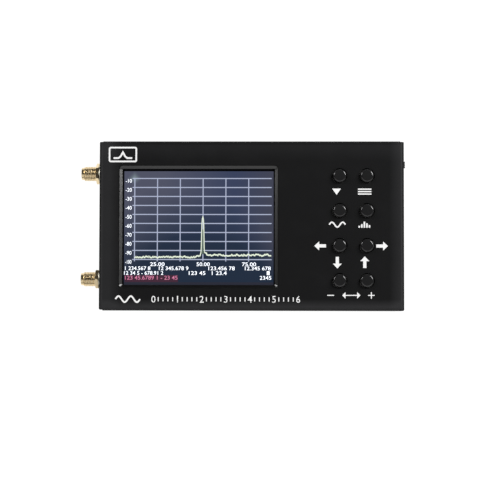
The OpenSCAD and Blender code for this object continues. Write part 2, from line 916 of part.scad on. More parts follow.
module jack_contacts() {
    color("gold")
    at_jacks()
        difference() {
            union() {
                rod(contact_d, -flange_t, contact_tip);
                rod(tail_d, -flange_t - tail_l, -flange_t);
            }
            rod(contact_bore, contact_tip - contact_depth, contact_tip + cut);
        }
}

module jack_nut(side) {
    corner_r = nut_af / 2 / cos(30);
    color("goldenrod")
    at_jack(side)
        difference() {
            intersection() {
                translate([0, 0, washer_out])
                    rotate((side + 1) / 2 * nut_turn)
                        cylinder(r = corner_r, h = nut_t, $fn = 6);
                rotate_extrude()
                    polygon([
                        [0, washer_out],
                        [corner_r - nut_bevel, washer_out],
                        [corner_r, washer_out + nut_bevel],
                        [corner_r, nut_out - nut_bevel],
                        [corner_r - nut_bevel, nut_out],
                        [0, nut_out]
                    ]);
            }
            rod(root_d + 2 * barrel_gap, washer_out - cut, nut_out + cut);
        }
}

module jack_nuts() {
    for (side = [-1, 1])
        jack_nut(side);
}

module jack_washers() {
    color("goldenrod")
    at_jacks()
        difference() {
            rod(washer_d, sheet_t, washer_out);
            rod(thread_d + 2 * barrel_gap, sheet_t - cut, washer_out + cut);
        }
}

// Keys

module tact_bases() {
    side = tact_w / 2 - tact_cover_t;
    color([0.15, 0.15, 0.15])
    at_keys()
        difference() {
            block(-tact_w / 2, tact_w / 2, -side, side, tact_z, tact_cover_z);
            rod(tact_bore, tact_z + tact_floor, tact_cover_z + cut);
        }
}

module tact_covers() {
    tab_w = tact_w / 2;
    color("silver")
    at_keys()
        difference() {
            union() {
                block(-tact_w / 2, tact_w / 2, -tact_w / 2, tact_w / 2, tact_cover_z, tact_z + tact_h);
                for (side = [-1, 1])
                    translate([0, side * (tact_w - tact_cover_t) / 2, 0])
                        block(-tab_w / 2, tab_w / 2, -tact_cover_t / 2, tact_cover_t / 2,
                            tact_cover_z - tact_tab_h, tact_cover_z);
            }
            rod(stem_d + 2 * stem_gap, tact_cover_z - cut, tact_z + tact_h + cut);
        }
}

module tact_contacts() {
    color("silver")
    at_keys()
        rod(tact_bore - 2 * stem_gap, tact_z + tact_floor, tact_z + tact_floor + tact_contact_t);
}

module tact_legs() {
    color("silver")
    at_keys()
        for (x = [-1, 1], y = [-1, 1])
            translate([x * tact_w / 2, y * leg_pitch / 2, tact_z])
                rotate(90 - 90 * x)
                    union() {
                        block(0, leg_t, -leg_w / 2, leg_w / 2, 0, tact_floor);
                        block(0, leg_foot, -leg_w / 2, leg_w / 2, 0, leg_t);
                    }
}

module key_plunger(i) {
    color([0.1, 0.1, 0.1])
    translate(key_at(i))
        union() {
            rod(nub_d, nub_z, shoulder_z);
            rod(shoulder_d, shoulder_z, shoulder_z + shoulder_t);
            rod(stem_d, shoulder_z + shoulder_t, plunger_tip_z);
        }
}

module key_cap(i) {
    cap_r = key_d / 2;
    cap_h = cap_top_z - cap_z;
    color([0.08, 0.08, 0.08])
    translate(concat(key_at(i), cap_z))
        difference() {
            rotate_extrude() {
                square([cap_r, cap_h - key_round]);
                square([cap_r - key_round, cap_h]);
                translate([cap_r - key_round, cap_h - key_round])
                    intersection() {
                        circle(key_round);
                        square(key_round);
                    }
            }
            rod(stem_d + 2 * cap_gap, -cut, plunger_tip_z - cap_z);
        }
}

// Power switch and charging socket

module at_switch_pins() {
    for (i = [-1 : 1])
        translate([(switch_x0 + switch_x1) / 2, switch_y + i * switch_pin_pitch])
            children();
}

module power_switch_base() {
    inset = frame_t + core_gap;
    color([0.12, 0.12, 0.12])
    difference() {
        block(switch_x0 + inset, switch_x1 - inset, switch_y - switch_l / 2 + inset,
            switch_y + switch_l / 2 - inset, rear_board_top, rear_board_top + base_t);
        at_switch_pins()
            rod(switch_pin_d + 2 * core_gap, rear_board_top - cut, rear_board_top + base_t + cut);
    }
}

module power_switch_pins() {
    color("silver")
    at_switch_pins()
        rod(switch_pin_d, rear_board_z - board_t / 2, rear_board_top + base_t);
}

module power_switch_frame() {
    top = rear_board_top + switch_h;
    y0 = switch_y - switch_l / 2;
    y1 = switch_y + switch_l / 2;
    color("silver")
    difference() {
        block(switch_x0, switch_x1, y0, y1, rear_board_top, top);
        block(switch_x0 + frame_t, switch_x1 - frame_t, y0 + frame_t, y1 - frame_t,
            rear_board_top - cut, top - frame_t);
        translate([switch_x1, switch_y, knob_z])
            cube([2 * cut, knob_l + knob_travel + 2 * knob_gap, knob_t + 2 * knob_gap], center = true);
    }
}

module power_switch_knob() {
    slider_x = switch_x0 + frame_t + knob_gap;
    color([0.08, 0.08, 0.08])
    union() {
        translate([slider_x, knob_y - slider_l / 2, slider_z])
            cube([slider_w, slider_l, slider_h]);
        translate([slider_x, knob_y - knob_l / 2, knob_z - knob_t / 2])
            cube([wall_x + knob_reach - slider_x, knob_l, knob_t]);
    }
}

module along_usb(x0, x1) {
    translate([x0, 0, usb_z])
        rotate([90, 0, 90])
            linear_extrude(x1 - x0)
                children();
}

module usb_shell() {
    color("silver")
    difference() {
        along_usb(wall_x - usb_l, wall_x)
            slot(usb_w, usb_h);
        along_usb(wall_x - usb_l - cut, wall_x + cut)
            slot(usb_w - 2 * usb_t, usb_h - 2 * usb_t);
    }
}

module usb_tongue() {
    tongue_tip = wall_x - tongue_inset;
    color([0.1, 0.1, 0.1])
    union() {
        along_usb(wall_x - usb_l, tongue_tip - tongue_l)
            slot(usb_w - 2 * (usb_t + core_gap), usb_h - 2 * (usb_t + core_gap));
        along_usb(tongue_tip - tongue_l, tongue_tip)
            square([tongue_w, tongue_t], center = true);
    }
}

// Battery

module battery_cell() {
    color([0.75, 0.76, 0.78])
    translate([battery_x0, 0, battery_z + battery_t / 2])
        rotate([90, 0, 90])
            linear_extrude(battery_l)
                rounded_rect(battery_w, battery_t, battery_r);
}

module battery_tape() {
    color("white")
    for (side = [-1, 1])
        block(battery_x0 + tape_w, battery_x1 - tape_w, side * battery_w / 4 - tape_w / 2,
            side * battery_w / 4 + tape_w / 2, cover_t, battery_z);
}

// Route of a lead from the battery's end to the plug, with its slack bowed sideways
function lead_line(y, t) = [
    battery_x1 + t * lead_run,
    y + lead_bow * pow(sin(180 * t), 2),
    lead_z + (plug_z - lead_z) * (1 - cos(180 * t)) / 2
];

module battery_leads() {
    rings = 13;
    sides = 8;
    faces = concat(
        [[for (j = [0 : sides - 1]) j]],
        [for (i = [0 : rings - 2], j = [0 : sides - 1])
            let (a = i * sides + j, b = i * sides + (j + 1) % sides)
                [a, a + sides, b + sides, b]],
        [[for (j = [sides - 1 : -1 : 0]) (rings - 1) * sides + j]]
    );
    color("firebrick")
    for (y = [-1, 1])
        polyhedron([for (i = [0 : rings - 1], j = [0 : sides - 1])
            lead_line(y * lead_pitch / 2, i / (rings - 1))
                + lead_d / 2 * [0, cos(360 * j / sides), sin(360 * j / sides)]], faces);
}

module battery_plug() {
    color("ivory")
    block(plug_x, plug_x + plug_l, -plug_w / 2, plug_w / 2, plug_z - plug_t / 2, plug_z + plug_t / 2);
}

module battery_socket() {
    color("ivory")
    difference() {
        block(plug_socket_x, plug_socket_x + plug_in + plug_wall, -plug_socket_w / 2, plug_socket_w / 2,
            rear_board_z - plug_socket_h, rear_board_z);
        block(plug_socket_x - cut, plug_socket_x + plug_in, -plug_w / 2 - plug_gap, plug_w / 2 + plug_gap,
            plug_z - plug_t / 2 - plug_gap, plug_z + plug_t / 2 + plug_gap);
    }
}

front_shell();
back_cover();
cover_screws();
display_bezel();
display_gasket();
lcd_glass();
lcd_driver_chip();
lcd_backlight();
lcd_tape();
lcd_flex();
lcd_flex_socket();
front_board();
logic_chips();
board_socket();
board_header();
rear_board();
radio_shield();
radio_chips();
upper_jack();
lower_jack();
jack_nuts();
jack_washers();
jack_insulators();
jack_contacts();
panel_standoffs();
board_spacers();
rear_pillars();
tact_bases();
tact_covers();
tact_contacts();
tact_legs();
power_switch_base();
power_switch_frame();
power_switch_pins();
power_switch_knob();
usb_shell();
usb_tongue();
battery_cell();
battery_tape();
battery_leads();
battery_plug();
battery_socket();
for (i = [0 : len(KEYS) - 1]) {
    key_cap(i);
    key_plunger(i);
}
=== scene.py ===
"""Looks of a handheld spectrum analyzer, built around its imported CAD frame.

The instrument lies on its back: +X points to the power switch, +Y to the top wall and +Z out of the display.
Sizes are given in millimetres and turned into Blender's metres where a mesh is made.
"""

import json
import logging
import math
import random
from contextlib import contextmanager
from dataclasses import dataclass
from enum import Enum
from functools import cache
from typing import Callable, Iterator, Optional, Sequence, Union

import bmesh
import bpy
from mathutils import Euler, Matrix, Vector


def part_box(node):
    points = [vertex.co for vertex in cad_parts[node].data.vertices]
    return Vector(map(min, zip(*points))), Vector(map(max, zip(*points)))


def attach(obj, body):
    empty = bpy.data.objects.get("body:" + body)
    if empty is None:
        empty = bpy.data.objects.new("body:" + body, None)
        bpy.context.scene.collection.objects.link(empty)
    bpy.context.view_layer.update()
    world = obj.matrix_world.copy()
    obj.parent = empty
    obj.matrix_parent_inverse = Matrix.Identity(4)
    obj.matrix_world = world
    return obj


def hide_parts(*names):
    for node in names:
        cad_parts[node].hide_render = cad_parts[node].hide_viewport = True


LOG = logging.getLogger("analyzer")
MM = 0.001
CASE_BODY = "case"

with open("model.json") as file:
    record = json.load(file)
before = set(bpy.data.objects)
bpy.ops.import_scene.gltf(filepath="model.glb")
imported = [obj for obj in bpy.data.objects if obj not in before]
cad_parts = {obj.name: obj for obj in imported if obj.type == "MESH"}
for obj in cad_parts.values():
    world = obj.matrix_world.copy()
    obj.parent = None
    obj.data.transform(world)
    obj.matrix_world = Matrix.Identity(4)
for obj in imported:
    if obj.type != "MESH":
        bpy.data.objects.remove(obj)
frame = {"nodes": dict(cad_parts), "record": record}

Point = Sequence[float]
Colour = tuple[float, float, float]
Number = Union[int, float]


# Shader graphs


class Signal:
    """A node's output socket, which can be used in a Python expression."""

    def __init__(self, graph: "Graph", socket: bpy.types.NodeSocket) -> None:
        """Keeps the graph that new nodes go to, and the socket."""
        self.graph = graph
        self.socket = socket

    def _math(self, operation: str, first: "Input", second: "Input") -> "Signal":
        """Adds a Math node."""
        return self.graph.node("ShaderNodeMath", {"operation": operation}, {0: first, 1: second})

    def __add__(self, other: "Input") -> "Signal":
        """Adds."""
        return self._math("ADD", self, other)

    __radd__ = __add__

    def __sub__(self, other: "Input") -> "Signal":
        """Subtracts."""
        return self._math("SUBTRACT", self, other)

    def __rsub__(self, other: "Input") -> "Signal":
        """Is subtracted from a number."""
        return self._math("SUBTRACT", other, self)

    def __mul__(self, other: "Input") -> "Signal":
        """Multiplies."""
        return self._math("MULTIPLY", self, other)

    __rmul__ = __mul__

    def __truediv__(self, other: "Input") -> "Signal":
        """Divides."""
        return self._math("DIVIDE", self, other)

    def __rtruediv__(self, other: "Input") -> "Signal":
        """Divides a number."""
        return self._math("DIVIDE", other, self)

    def __gt__(self, other: "Input") -> "Signal":
        """Is 1 where this value is the greater one."""
        return self._math("GREATER_THAN", self, other)

    def __lt__(self, other: "Input") -> "Signal":
        """Is 1 where this value is the smaller one."""
        return self._math("LESS_THAN", self, other)

    def __abs__(self) -> "Signal":
        """Drops the sign."""
        return self._math("ABSOLUTE", self, 0.0)


Input = Union[Signal, Number, Sequence[float]]


class Graph:
    """The nodes of a material or a world, with the shader at their end."""

    def __init__(self, owner: Union[bpy.types.Material, bpy.types.World]) -> None:
        """Takes up the nodes of a fresh material or world.

        Args:
            owner: The material or world.
        """
        owner.use_nodes = True
        self.tree = owner.node_tree
        self.shader = next(n for n in self.tree.nodes if n.type in ("BSDF_PRINCIPLED", "BACKGROUND"))

    def node(
        self,
        kind: str,
        settings: Optional[dict[str, object]] = None,
        inputs: Optional[dict[Union[int, str], Input]] = None,
        output: Union[int, str] = 0,
    ) -> Signal:
        """Adds a node.

        Args:
            kind: The node's type.
            settings: Its properties.
            inputs: Values or links of its sockets, by number or name.
            output: The socket to return.

        Returns:
            That output.
        """
        made = self.tree.nodes.new(kind)
        for key, value in (settings or {}).items():
            setattr(made, key, value)
        for key, value in (inputs or {}).items():
            self.feed(made.inputs[key], value)
        return Signal(self, made.outputs[output])

    def feed(self, socket: bpy.types.NodeSocket, value: Input) -> None:
        """Links a signal to a socket, or sets the socket's own value.

        Args:
            socket: The socket.
            value: The signal, number, vector or colour; a colour without alpha is opaque.
        """
        if isinstance(value, Signal):
            self.tree.links.new(value.socket, socket)
        elif isinstance(value, (int, float)):
            socket.default_value = value
        else:
            socket.default_value = (*value, 1.0)[: len(socket.default_value)]

    def surface(self, **inputs: Input) -> None:
        """Feeds the shader; underscores in the names stand for spaces."""
        for key, value in inputs.items():
            self.feed(self.shader.inputs[key.replace("_", " ")], value)

    def place(self, stretch: Point = (1.0, 1.0, 1.0)) -> Signal:
        """Gives the surface's place in metres, scaled along each axis."""
        coords = self.node("ShaderNodeTexCoord", output="Object")
        return self.node("ShaderNodeMapping", {}, {"Vector": coords, "Scale": stretch})

    def axes(self) -> tuple[Signal, ...]:
        """Gives x, y and z of the surface's place, in metres."""
        split = self.node("ShaderNodeSeparateXYZ", {}, {0: self.place()}).socket.node
        return tuple(Signal(self, output) for output in split.outputs)

    def noise(self, grain: float, detail: float = 3.0, stretch: Point = (1.0, 1.0, 1.0)) -> Signal:
        """Gives noise whose lumps have about the given size.

        Args:
            grain: Size of a lump in millimetres.
            detail: Octaves of finer noise.
            stretch: Scale along each axis.

        Returns:
            A value around one half.
        """
        scale = 1.0 / (grain * MM)
        inputs = {"Vector": self.place(stretch), "Scale": scale, "Detail": detail, "Roughness": 0.55}
        return self.node("ShaderNodeTexNoise", {}, inputs)

    def between(self, amount: Input, low: float, high: float) -> Signal:
        """Maps a value from 0 to 1 onto a range of numbers."""
        return self.node("ShaderNodeMapRange", {}, {0: amount, 3: low, 4: high})

    def around(self, amount: Input, number: float, spread: float) -> Signal:
        """Lets a number vary by a share of itself to both sides."""
        return self.between(amount, number * (1 - spread), number * (1 + spread))

    def fade(self, place: Signal, ends: tuple[float, float], low: float, high: float) -> Signal:
        """Goes from one number to another between two places in millimetres."""
        inputs = {0: place, 1: ends[0] * MM, 2: ends[1] * MM, 3: low, 4: high}
        return self.node("ShaderNodeMapRange", {}, inputs)

    def blend(self, amount: Input, first: Input, second: Input) -> Signal:
        """Mixes two colours; the amount is the second one's share."""
        return self.node("ShaderNodeMix", {"data_type": "RGBA"}, {0: amount, 6: first, 7: second}, 2)

    def shades(self, amount: Input, colour: Colour, darkest: float, lightest: float) -> Signal:
        """Mixes a dark and a light tint of one colour."""
        return self.blend(amount, tint(colour, darkest), tint(colour, lightest))

    def bump(self, height: Input, depth: float) -> Signal:
        """Turns a height from 0 to 1, over a depth in millimetres, into a normal."""
        return self.node("ShaderNodeBump", {}, {"Strength": 1.0, "Distance": depth * MM, "Height": height})


# Finishes


def tint(colour: Colour, factor: float) -> Colour:
    """Makes a colour lighter or darker, with no channel over 1."""
    return tuple(min(1.0, channel * factor) for channel in colour)


@dataclass(frozen=True)
class Finish:
    """A surface finish with colour mottling, uneven gloss and a fine relief; lengths are in millimetres."""

    name: str
    colour: Colour
    roughness: float = 0.5
    metallic: float = 0.0
    specular: float = 0.5
    grain_size: float = 0.4
    relief: float = 0.004
    mottle: float = 0.12
    coat: float = 0.0
    light: float = 0.0
    grains_to_cloud: float = 40.0
    grain_share: float = 0.6
    gloss_spread: float = 0.15

    @cache
    def material(self) -> bpy.types.Material:
        """Makes the finish's material, once.

        Returns:
            The material.
        """
        made = bpy.data.materials.new(self.name)
        self.paint(Graph(made))
        return made

    def paint(self, graph: Graph) -> None:
        """Adds the finish's nodes.

        Args:
            graph: The material's fresh nodes.
        """
        graph.surface(
            Base_Color=self.hue(graph),
            Roughness=self.gloss(graph),
            Metallic=self.metallic,
            Normal=graph.bump(self.grain(graph), self.relief),
            Specular_IOR_Level=self.specular,
            Coat_Weight=self.coat,
            Coat_Roughness=0.08,
            Emission_Color=self.colour,
            Emission_Strength=self.light,
        )

    def grain(self, graph: Graph) -> Signal:
        """Gives the height of the fine relief."""
        return graph.noise(self.grain_size, 4.0)

    def cloud(self, graph: Graph) -> Signal:
        """Gives the slow drift over the surface."""
        return graph.noise(self.grain_size * self.grains_to_cloud, 2.0)

    def hue(self, graph: Graph) -> Signal:
        """Gives the mottled colour."""
        return graph.shades(self.cloud(graph), self.colour, 1 - self.mottle, 1 + self.mottle)

    def gloss(self, graph: Graph) -> Signal:
        """Gives the uneven roughness."""
        uneven = self.grain(graph) * self.grain_share + self.cloud(graph) * (1 - self.grain_share)
        return graph.around(uneven, self.roughness, self.gloss_spread)


@dataclass(frozen=True)
class FoldedCoat(Finish):
    """A black coat on folded sheet, with painted light: paler towards the panel's folds, a painted highlight
    line along the end bends, and painted shade over their rims.
    """

    lean: float = 1.5
    side_fade: tuple[float, float] = (58.0, 63.0)
    side_share: float = 0.6
    lower_fade: tuple[float, float] = (31.75, 34.875)
    lower_share: float = 0.84
    upper_fade: tuple[float, float] = (27.75, 33.375)
    upper_share: float = 0.25
    top_bend: float = 35.2
    crease: float = 64.8
    crease_width: float = 0.6
    crease_share: float = 0.45
    cloud_share: float = 0.18
    flat: float = 23.9
    rim: float = 65.2
    bend: float = 23.3
    # How much paler the painted light makes the coat, and how dark the painted shade on the end bends' rims
    # makes it
    paler: float = 4.2
    darker: float = 0.25

    def hue(self, graph: Graph) -> Signal:
        """Gives the colour with painted light: paler near the panel's folds, a pale highlight line along the
        bends at its two ends, and painted shade over those bends' rims.

        Args:
            graph: The material's nodes.

        Returns:
            The colour.
        """
        x, y, z = graph.axes()
        from_crease = abs(abs(x) - self.crease * MM)
        # Painted light: the panel is made paler towards its left and right edges, most towards its lower
        # edge and a little towards its upper edge
        pale = graph.fade(abs(x - self.lean * MM), self.side_fade, 0.0, self.side_share)
        pale += graph.fade(y * -1.0, self.lower_fade, 0.0, self.lower_share)
        pale += graph.fade(y, self.upper_fade, 0.0, self.upper_share) * (y < self.top_bend * MM)
        # Painted highlight: a pale line along the bend at each end
        pale += graph.fade(from_crease, (0.0, self.crease_width), self.crease_share, 0.0)
        pale += (self.cloud(graph) - 0.5) * self.cloud_share
        # Painted shade: the outer part of each end bend is made darker
        rim = (abs(x) > self.rim * MM) * (z > self.bend * MM)
        wall = graph.blend(rim, self.colour, tint(self.colour, self.darker))
        panel = (z > self.flat * MM) * (1.0 - rim)
        return graph.blend(pale * panel, wall, tint(self.colour, self.paler))


@dataclass(frozen=True)
class TurnedMetal(Finish):
    """Plated metal, unevenly tarnished, with the fine rings that a lathe leaves along the X axis."""

    ring: float = 0.09
    ring_stretch: tuple[float, float, float] = (1.0, 0.02, 0.02)
    tarnish: float = 1.6
    tints: tuple[float, float] = (0.86, 1.08)
    gloss_spread: float = 0.3

    def grain(self, graph: Graph) -> Signal:
        """Gives the height of the rings."""
        return graph.noise(self.ring, 2.0, self.ring_stretch)

    def cloud(self, graph: Graph) -> Signal:
        """Gives the tarnish."""
        return graph.noise(self.tarnish)

    def hue(self, graph: Graph) -> Signal:
        """Gives the colour under the tarnish."""
        return graph.shades(self.cloud(graph), self.colour, *self.tints)

    def gloss(self, graph: Graph) -> Signal:
        """Gives the roughness under the tarnish."""
        return graph.around(self.cloud(graph), self.roughness, self.gloss_spread)


@dataclass(frozen=True)
class Glow(Finish):
    """A lit mark on the display: its own light and no relief."""

    roughness: float = 0.2
    light: float = 1.0
    unlit: Colour = (0.01, 0.01, 0.012)
    flicker: float = 0.6
    tints: tuple[float, float] = (0.9, 1.05)

    def paint(self, graph: Graph) -> None:
        """Adds the finish's nodes.

        Args:
            graph: The material's fresh nodes.
        """
        graph.surface(
            Base_Color=self.unlit,
            Emission_Color=graph.shades(graph.noise(self.flicker, 2.0), self.colour, *self.tints),
            Emission_Strength=self.light,
            Roughness=self.roughness,
            Specular_IOR_Level=self.specular,
        )


@dataclass(frozen=True)
class LitPicture(Finish):
    """The display's glass, lit from behind: dull blue, paler towards its top and its sides, with a painted
    highlight spot near the graticule's upper left corner.
    """

    low: tuple[float, float] = (-55.3, -25.65)
    high: tuple[float, float] = (9.6, 23.8)
    deep: Colour = (0.019, 0.031, 0.0625)
    foot: Colour = (0.0152, 0.0265, 0.05)
    left_pale: Colour = (0.079, 0.085, 0.127)
    mid_pale: Colour = (0.04, 0.053, 0.106)
    right_pale: Colour = (0.054, 0.058, 0.087)
    rise: float = 1.4
    left_rise: float = 0.75
    mid_level: float = 0.13
    side_level: float = 0.875
    side_lean: float = 0.325
    mid_slope: float = 1.1
    right_start: float = 0.5
    right_slope: float = 2.0
    foot_start: float = -0.1
    foot_slope: float = -3.3
    cloud_size: float = 9.0
    cloud_share: float = 0.24
    smear: float = 2.5
    gloss_spread: float = 0.2
    strip_top: float = -24.4
    strip: Colour = (0.023, 0.025, 0.039)
    # A painted highlight spot, standing in for a reflection on the glass near the graticule's upper left
    # corner: its place, reach and colour
    glint_at: tuple[float, float] = (-50.8, 20.7)
    glint_reach: float = 3.9
    glint: Colour = (0.24, 0.31, 0.33)

    def paint(self, graph: Graph) -> None:
        """Adds the finish's nodes.

        Args:
            graph: The material's fresh nodes.
        """
        x, y, _ = graph.axes()
        across, up = (
            (place - (low + high) / 2 * MM) / ((high - low) / 2 * MM)
            for place, low, high in zip((x, y), self.low, self.high)
        )
        inside = (abs(across) < 1.0) * (abs(up) < 1.0)
        picture = graph.blend(self._level(graph, across, up), *self._dark_and_pale(graph, across, up))
        # Painted highlight: the picture turns pale near that corner
        away = abs(x - self.glint_at[0] * MM) + abs(y - self.glint_at[1] * MM)
        near = graph.fade(away, (0.0, self.glint_reach), 1.0, 0.0)
        picture = graph.blend(near * near, picture, self.glint)
        picture = graph.blend(y < self.strip_top * MM, picture, self.strip)
        graph.surface(
            Base_Color=self.colour,
            Emission_Color=graph.blend(inside, (0.0, 0.0, 0.0), picture),
            Emission_Strength=1.0,
            Roughness=graph.around(graph.noise(self.smear), self.roughness, self.gloss_spread),
            Specular_IOR_Level=self.specular,
        )

    def _level(self, graph: Graph, across: Signal, up: Signal) -> Signal:
        """Says how pale the picture is.

        Args:
            graph: The material's nodes.
            across: Place across the picture, from -1 to 1.
            up: Place up the picture, from -1 to 1.

        Returns:
            0 where it is dark and 1 where it is pale.
        """
        leftward = across * (across < 0.0) * -1.0
        sides = across * across * (across * self.side_lean + self.side_level)
        cloud = (graph.noise(self.cloud_size, 2.0) - 0.5) * self.cloud_share
        return up * (self.rise - leftward * self.left_rise) + self.mid_level + sides + cloud

    def _dark_and_pale(self, graph: Graph, across: Signal, up: Signal) -> tuple[Signal, Signal]:
        """Gives the two colours between which the picture varies.

        Args:
            graph: The material's nodes.
            across: Place across the picture, from -1 to 1.
            up: Place up the picture, from -1 to 1.

        Returns:
            The dark colour and the pale one.
        """
        pale = graph.blend(across * self.mid_slope + 0.5, self.left_pale, self.mid_pale)
        pale = graph.blend((across - self.right_start) * self.right_slope, pale, self.right_pale)
        dark = graph.blend((up - self.foot_start) * self.foot_slope, self.deep, self.foot)
        return dark, pale


class Slot(Enum):
    """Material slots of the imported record."""

    COAT = "black_coat"
    SCREW = "screw_black"
    BEZEL = "bezel_plastic"
    FOAM = "gasket_foam"
    GLASS = "display_glass"
    CHIP = "chip_black"
    CONNECTOR = "connector_black"
    PLUNGER = "plunger_black"
    SWITCH = "switch_knob"
    KEY = "key_gloss"
    STEEL = "tinned_steel"
    NICKEL = "nickel_brass"
    TAPE = "tape_white"
    FLEX = "flex_amber"
    IVORY = "connector_ivory"
    BOARD = "board_green"
    GOLD = "gold_plate"
    INSULATOR = "insulator_white"
    FOIL = "battery_foil"
    LEAD = "lead_red"


FINISHES: dict[Slot, Finish] = {
    # The coat carries painted light and painted shade near its folds
    Slot.COAT: FoldedCoat(
        "powder_coat", (0.0079, 0.0079, 0.0083), 0.6, specular=0.12, grain_size=0.22, relief=0.012
    ),
    Slot.SCREW: Finish("black_oxide", (0.03, 0.03, 0.032), 0.38, 0.85, grain_size=0.15),
    Slot.BEZEL: Finish("bezel_plastic", (0.002, 0.002, 0.0022), 0.3, specular=1.0, grain_size=0.2),
    Slot.FOAM: Finish(
        "gasket_foam", (0.012, 0.012, 0.013), 0.95, specular=0.1, grain_size=0.12, relief=0.05
    ),
    Slot.GLASS: LitPicture("display_glass", (0.004, 0.004, 0.005), 0.08),
    Slot.CHIP: Finish("chip_moulding", (0.02, 0.02, 0.021), 0.62, grain_size=0.08, relief=0.006),
    Slot.CONNECTOR: Finish("black_moulding", (0.016, 0.016, 0.017), 0.48, grain_size=0.2),
    Slot.PLUNGER: Finish("plunger_moulding", (0.018, 0.018, 0.018), 0.4, grain_size=0.2, relief=0.003),
    Slot.SWITCH: Finish("knob_moulding", (0.014, 0.014, 0.014), 0.42, grain_size=0.15),
    Slot.KEY: Finish(
        "key_gloss", (0.018, 0.018, 0.0185), 0.13, specular=0.7, grain_size=0.5, relief=0.0006
    ),
    Slot.STEEL: Finish("tinned_steel", (0.6, 0.6, 0.58), 0.3, 1.0, grain_size=0.2, relief=0.002),
    Slot.NICKEL: Finish("nickel_plate", (0.62, 0.57, 0.47), 0.26, 1.0, grain_size=0.2, relief=0.002),
    Slot.TAPE: Finish("tape_paper", (0.74, 0.73, 0.69), 0.8, grain_size=0.15, relief=0.02, mottle=0.05),
    Slot.FLEX: Finish("flex_film", (0.36, 0.13, 0.02), 0.28, grain_size=0.3, relief=0.003, coat=0.3),
    Slot.IVORY: Finish("ivory_moulding", (0.68, 0.61, 0.45), 0.45, grain_size=0.2, mottle=0.05),
    Slot.BOARD: Finish("board_mask", (0.012, 0.085, 0.032), 0.3, grain_size=0.5, relief=0.01, coat=0.25),
    Slot.GOLD: TurnedMetal("gold_plate", (0.9, 0.735, 0.465), 0.3, 1.0, relief=0.003),
    Slot.INSULATOR: Finish("insulator_white", (0.8, 0.79, 0.74), grain_size=0.15, mottle=0.04),
    Slot.FOIL: Finish("battery_foil", (0.55, 0.56, 0.58), 0.34, 0.9, grain_size=0.8, relief=0.03),
    Slot.LEAD: Finish("lead_jacket", (0.42, 0.014, 0.012), 0.42, grain_size=0.2),
}
BLASTED_GOLD = Finish("blasted_gold", (0.98, 0.89, 0.74), 0.5, 0.6, grain_size=0.12, relief=0.02)
# White panel print, with painted light: it glows faintly in its own colour
INK_WITH_PAINTED_GLOW = Finish(
    "panel_ink",
    (0.98, 0.98, 0.97),
    roughness=0.55,
    specular=0.25,
    grain_size=0.12,
    relief=0.008,
    mottle=0.03,
    # Painted glow, which makes the print brighter than the lamps alone make it
    light=0.12,
)
WHITE_GLOW = Glow("lit_white", (0.86, 0.9, 0.97), light=1.75)
GRID_GLOW = Glow("lit_grid", (0.43, 0.475, 0.63))
TRACE_GLOW = Glow("lit_trace", (0.84, 0.93, 0.75))
PEAK_GLOW = Glow("lit_peak", (0.105, 0.15, 0.122))
PINK_GLOW = Glow("lit_pink", (0.7, 0.2, 0.36))
BAND_GLOW = Glow("lit_band", (0.055, 0.019, 0.036))


# Modelling bench


# Places nearer than this count as one
TOUCH = 0.02
# The ways out of the panel and out of the left wall
UP = Vector((0.0, 0.0, 1.0))
OUT = Vector((-1.0, 0.0, 0.0))
# How near corners are that are welded: as a rule, on finely curved pieces and on digits
WELD = 0.001
FINE_WELD = 0.0005
DIGIT_WELD = 0.0001
# How bold the digits are, and the facets of their curves
DIGIT_WEIGHT = 0.004
DIGIT_FACETS = 3
Element = Union[bmesh.types.BMVert, bmesh.types.BMEdge, bmesh.types.BMFace]


class Kind(Enum):
    """What a selection is made of."""

    VERT = "VERT"
    EDGE = "EDGE"
    FACE = "FACE"


class Cut(Enum):
    """What a tool solid does to a piece."""

    AWAY = "DIFFERENCE"
    COMMON = "INTERSECT"


def metres(point: Point) -> Vector:
    """Turns millimetres into metres."""
    return Vector(point) * MM


def middle(element: Element) -> Vector:
    """Gives an element's middle in millimetres."""
    corners = [element] if isinstance(element, bmesh.types.BMVert) else list(element.verts)
    return sum((corner.co for corner in corners), Vector()) / len(corners) / MM


def stand_clear() -> None:
    """Leaves edit mode and deselects everything."""
    if bpy.context.mode != "OBJECT":
        bpy.ops.object.mode_set(mode="OBJECT")
    bpy.ops.object.select_all(action="DESELECT")


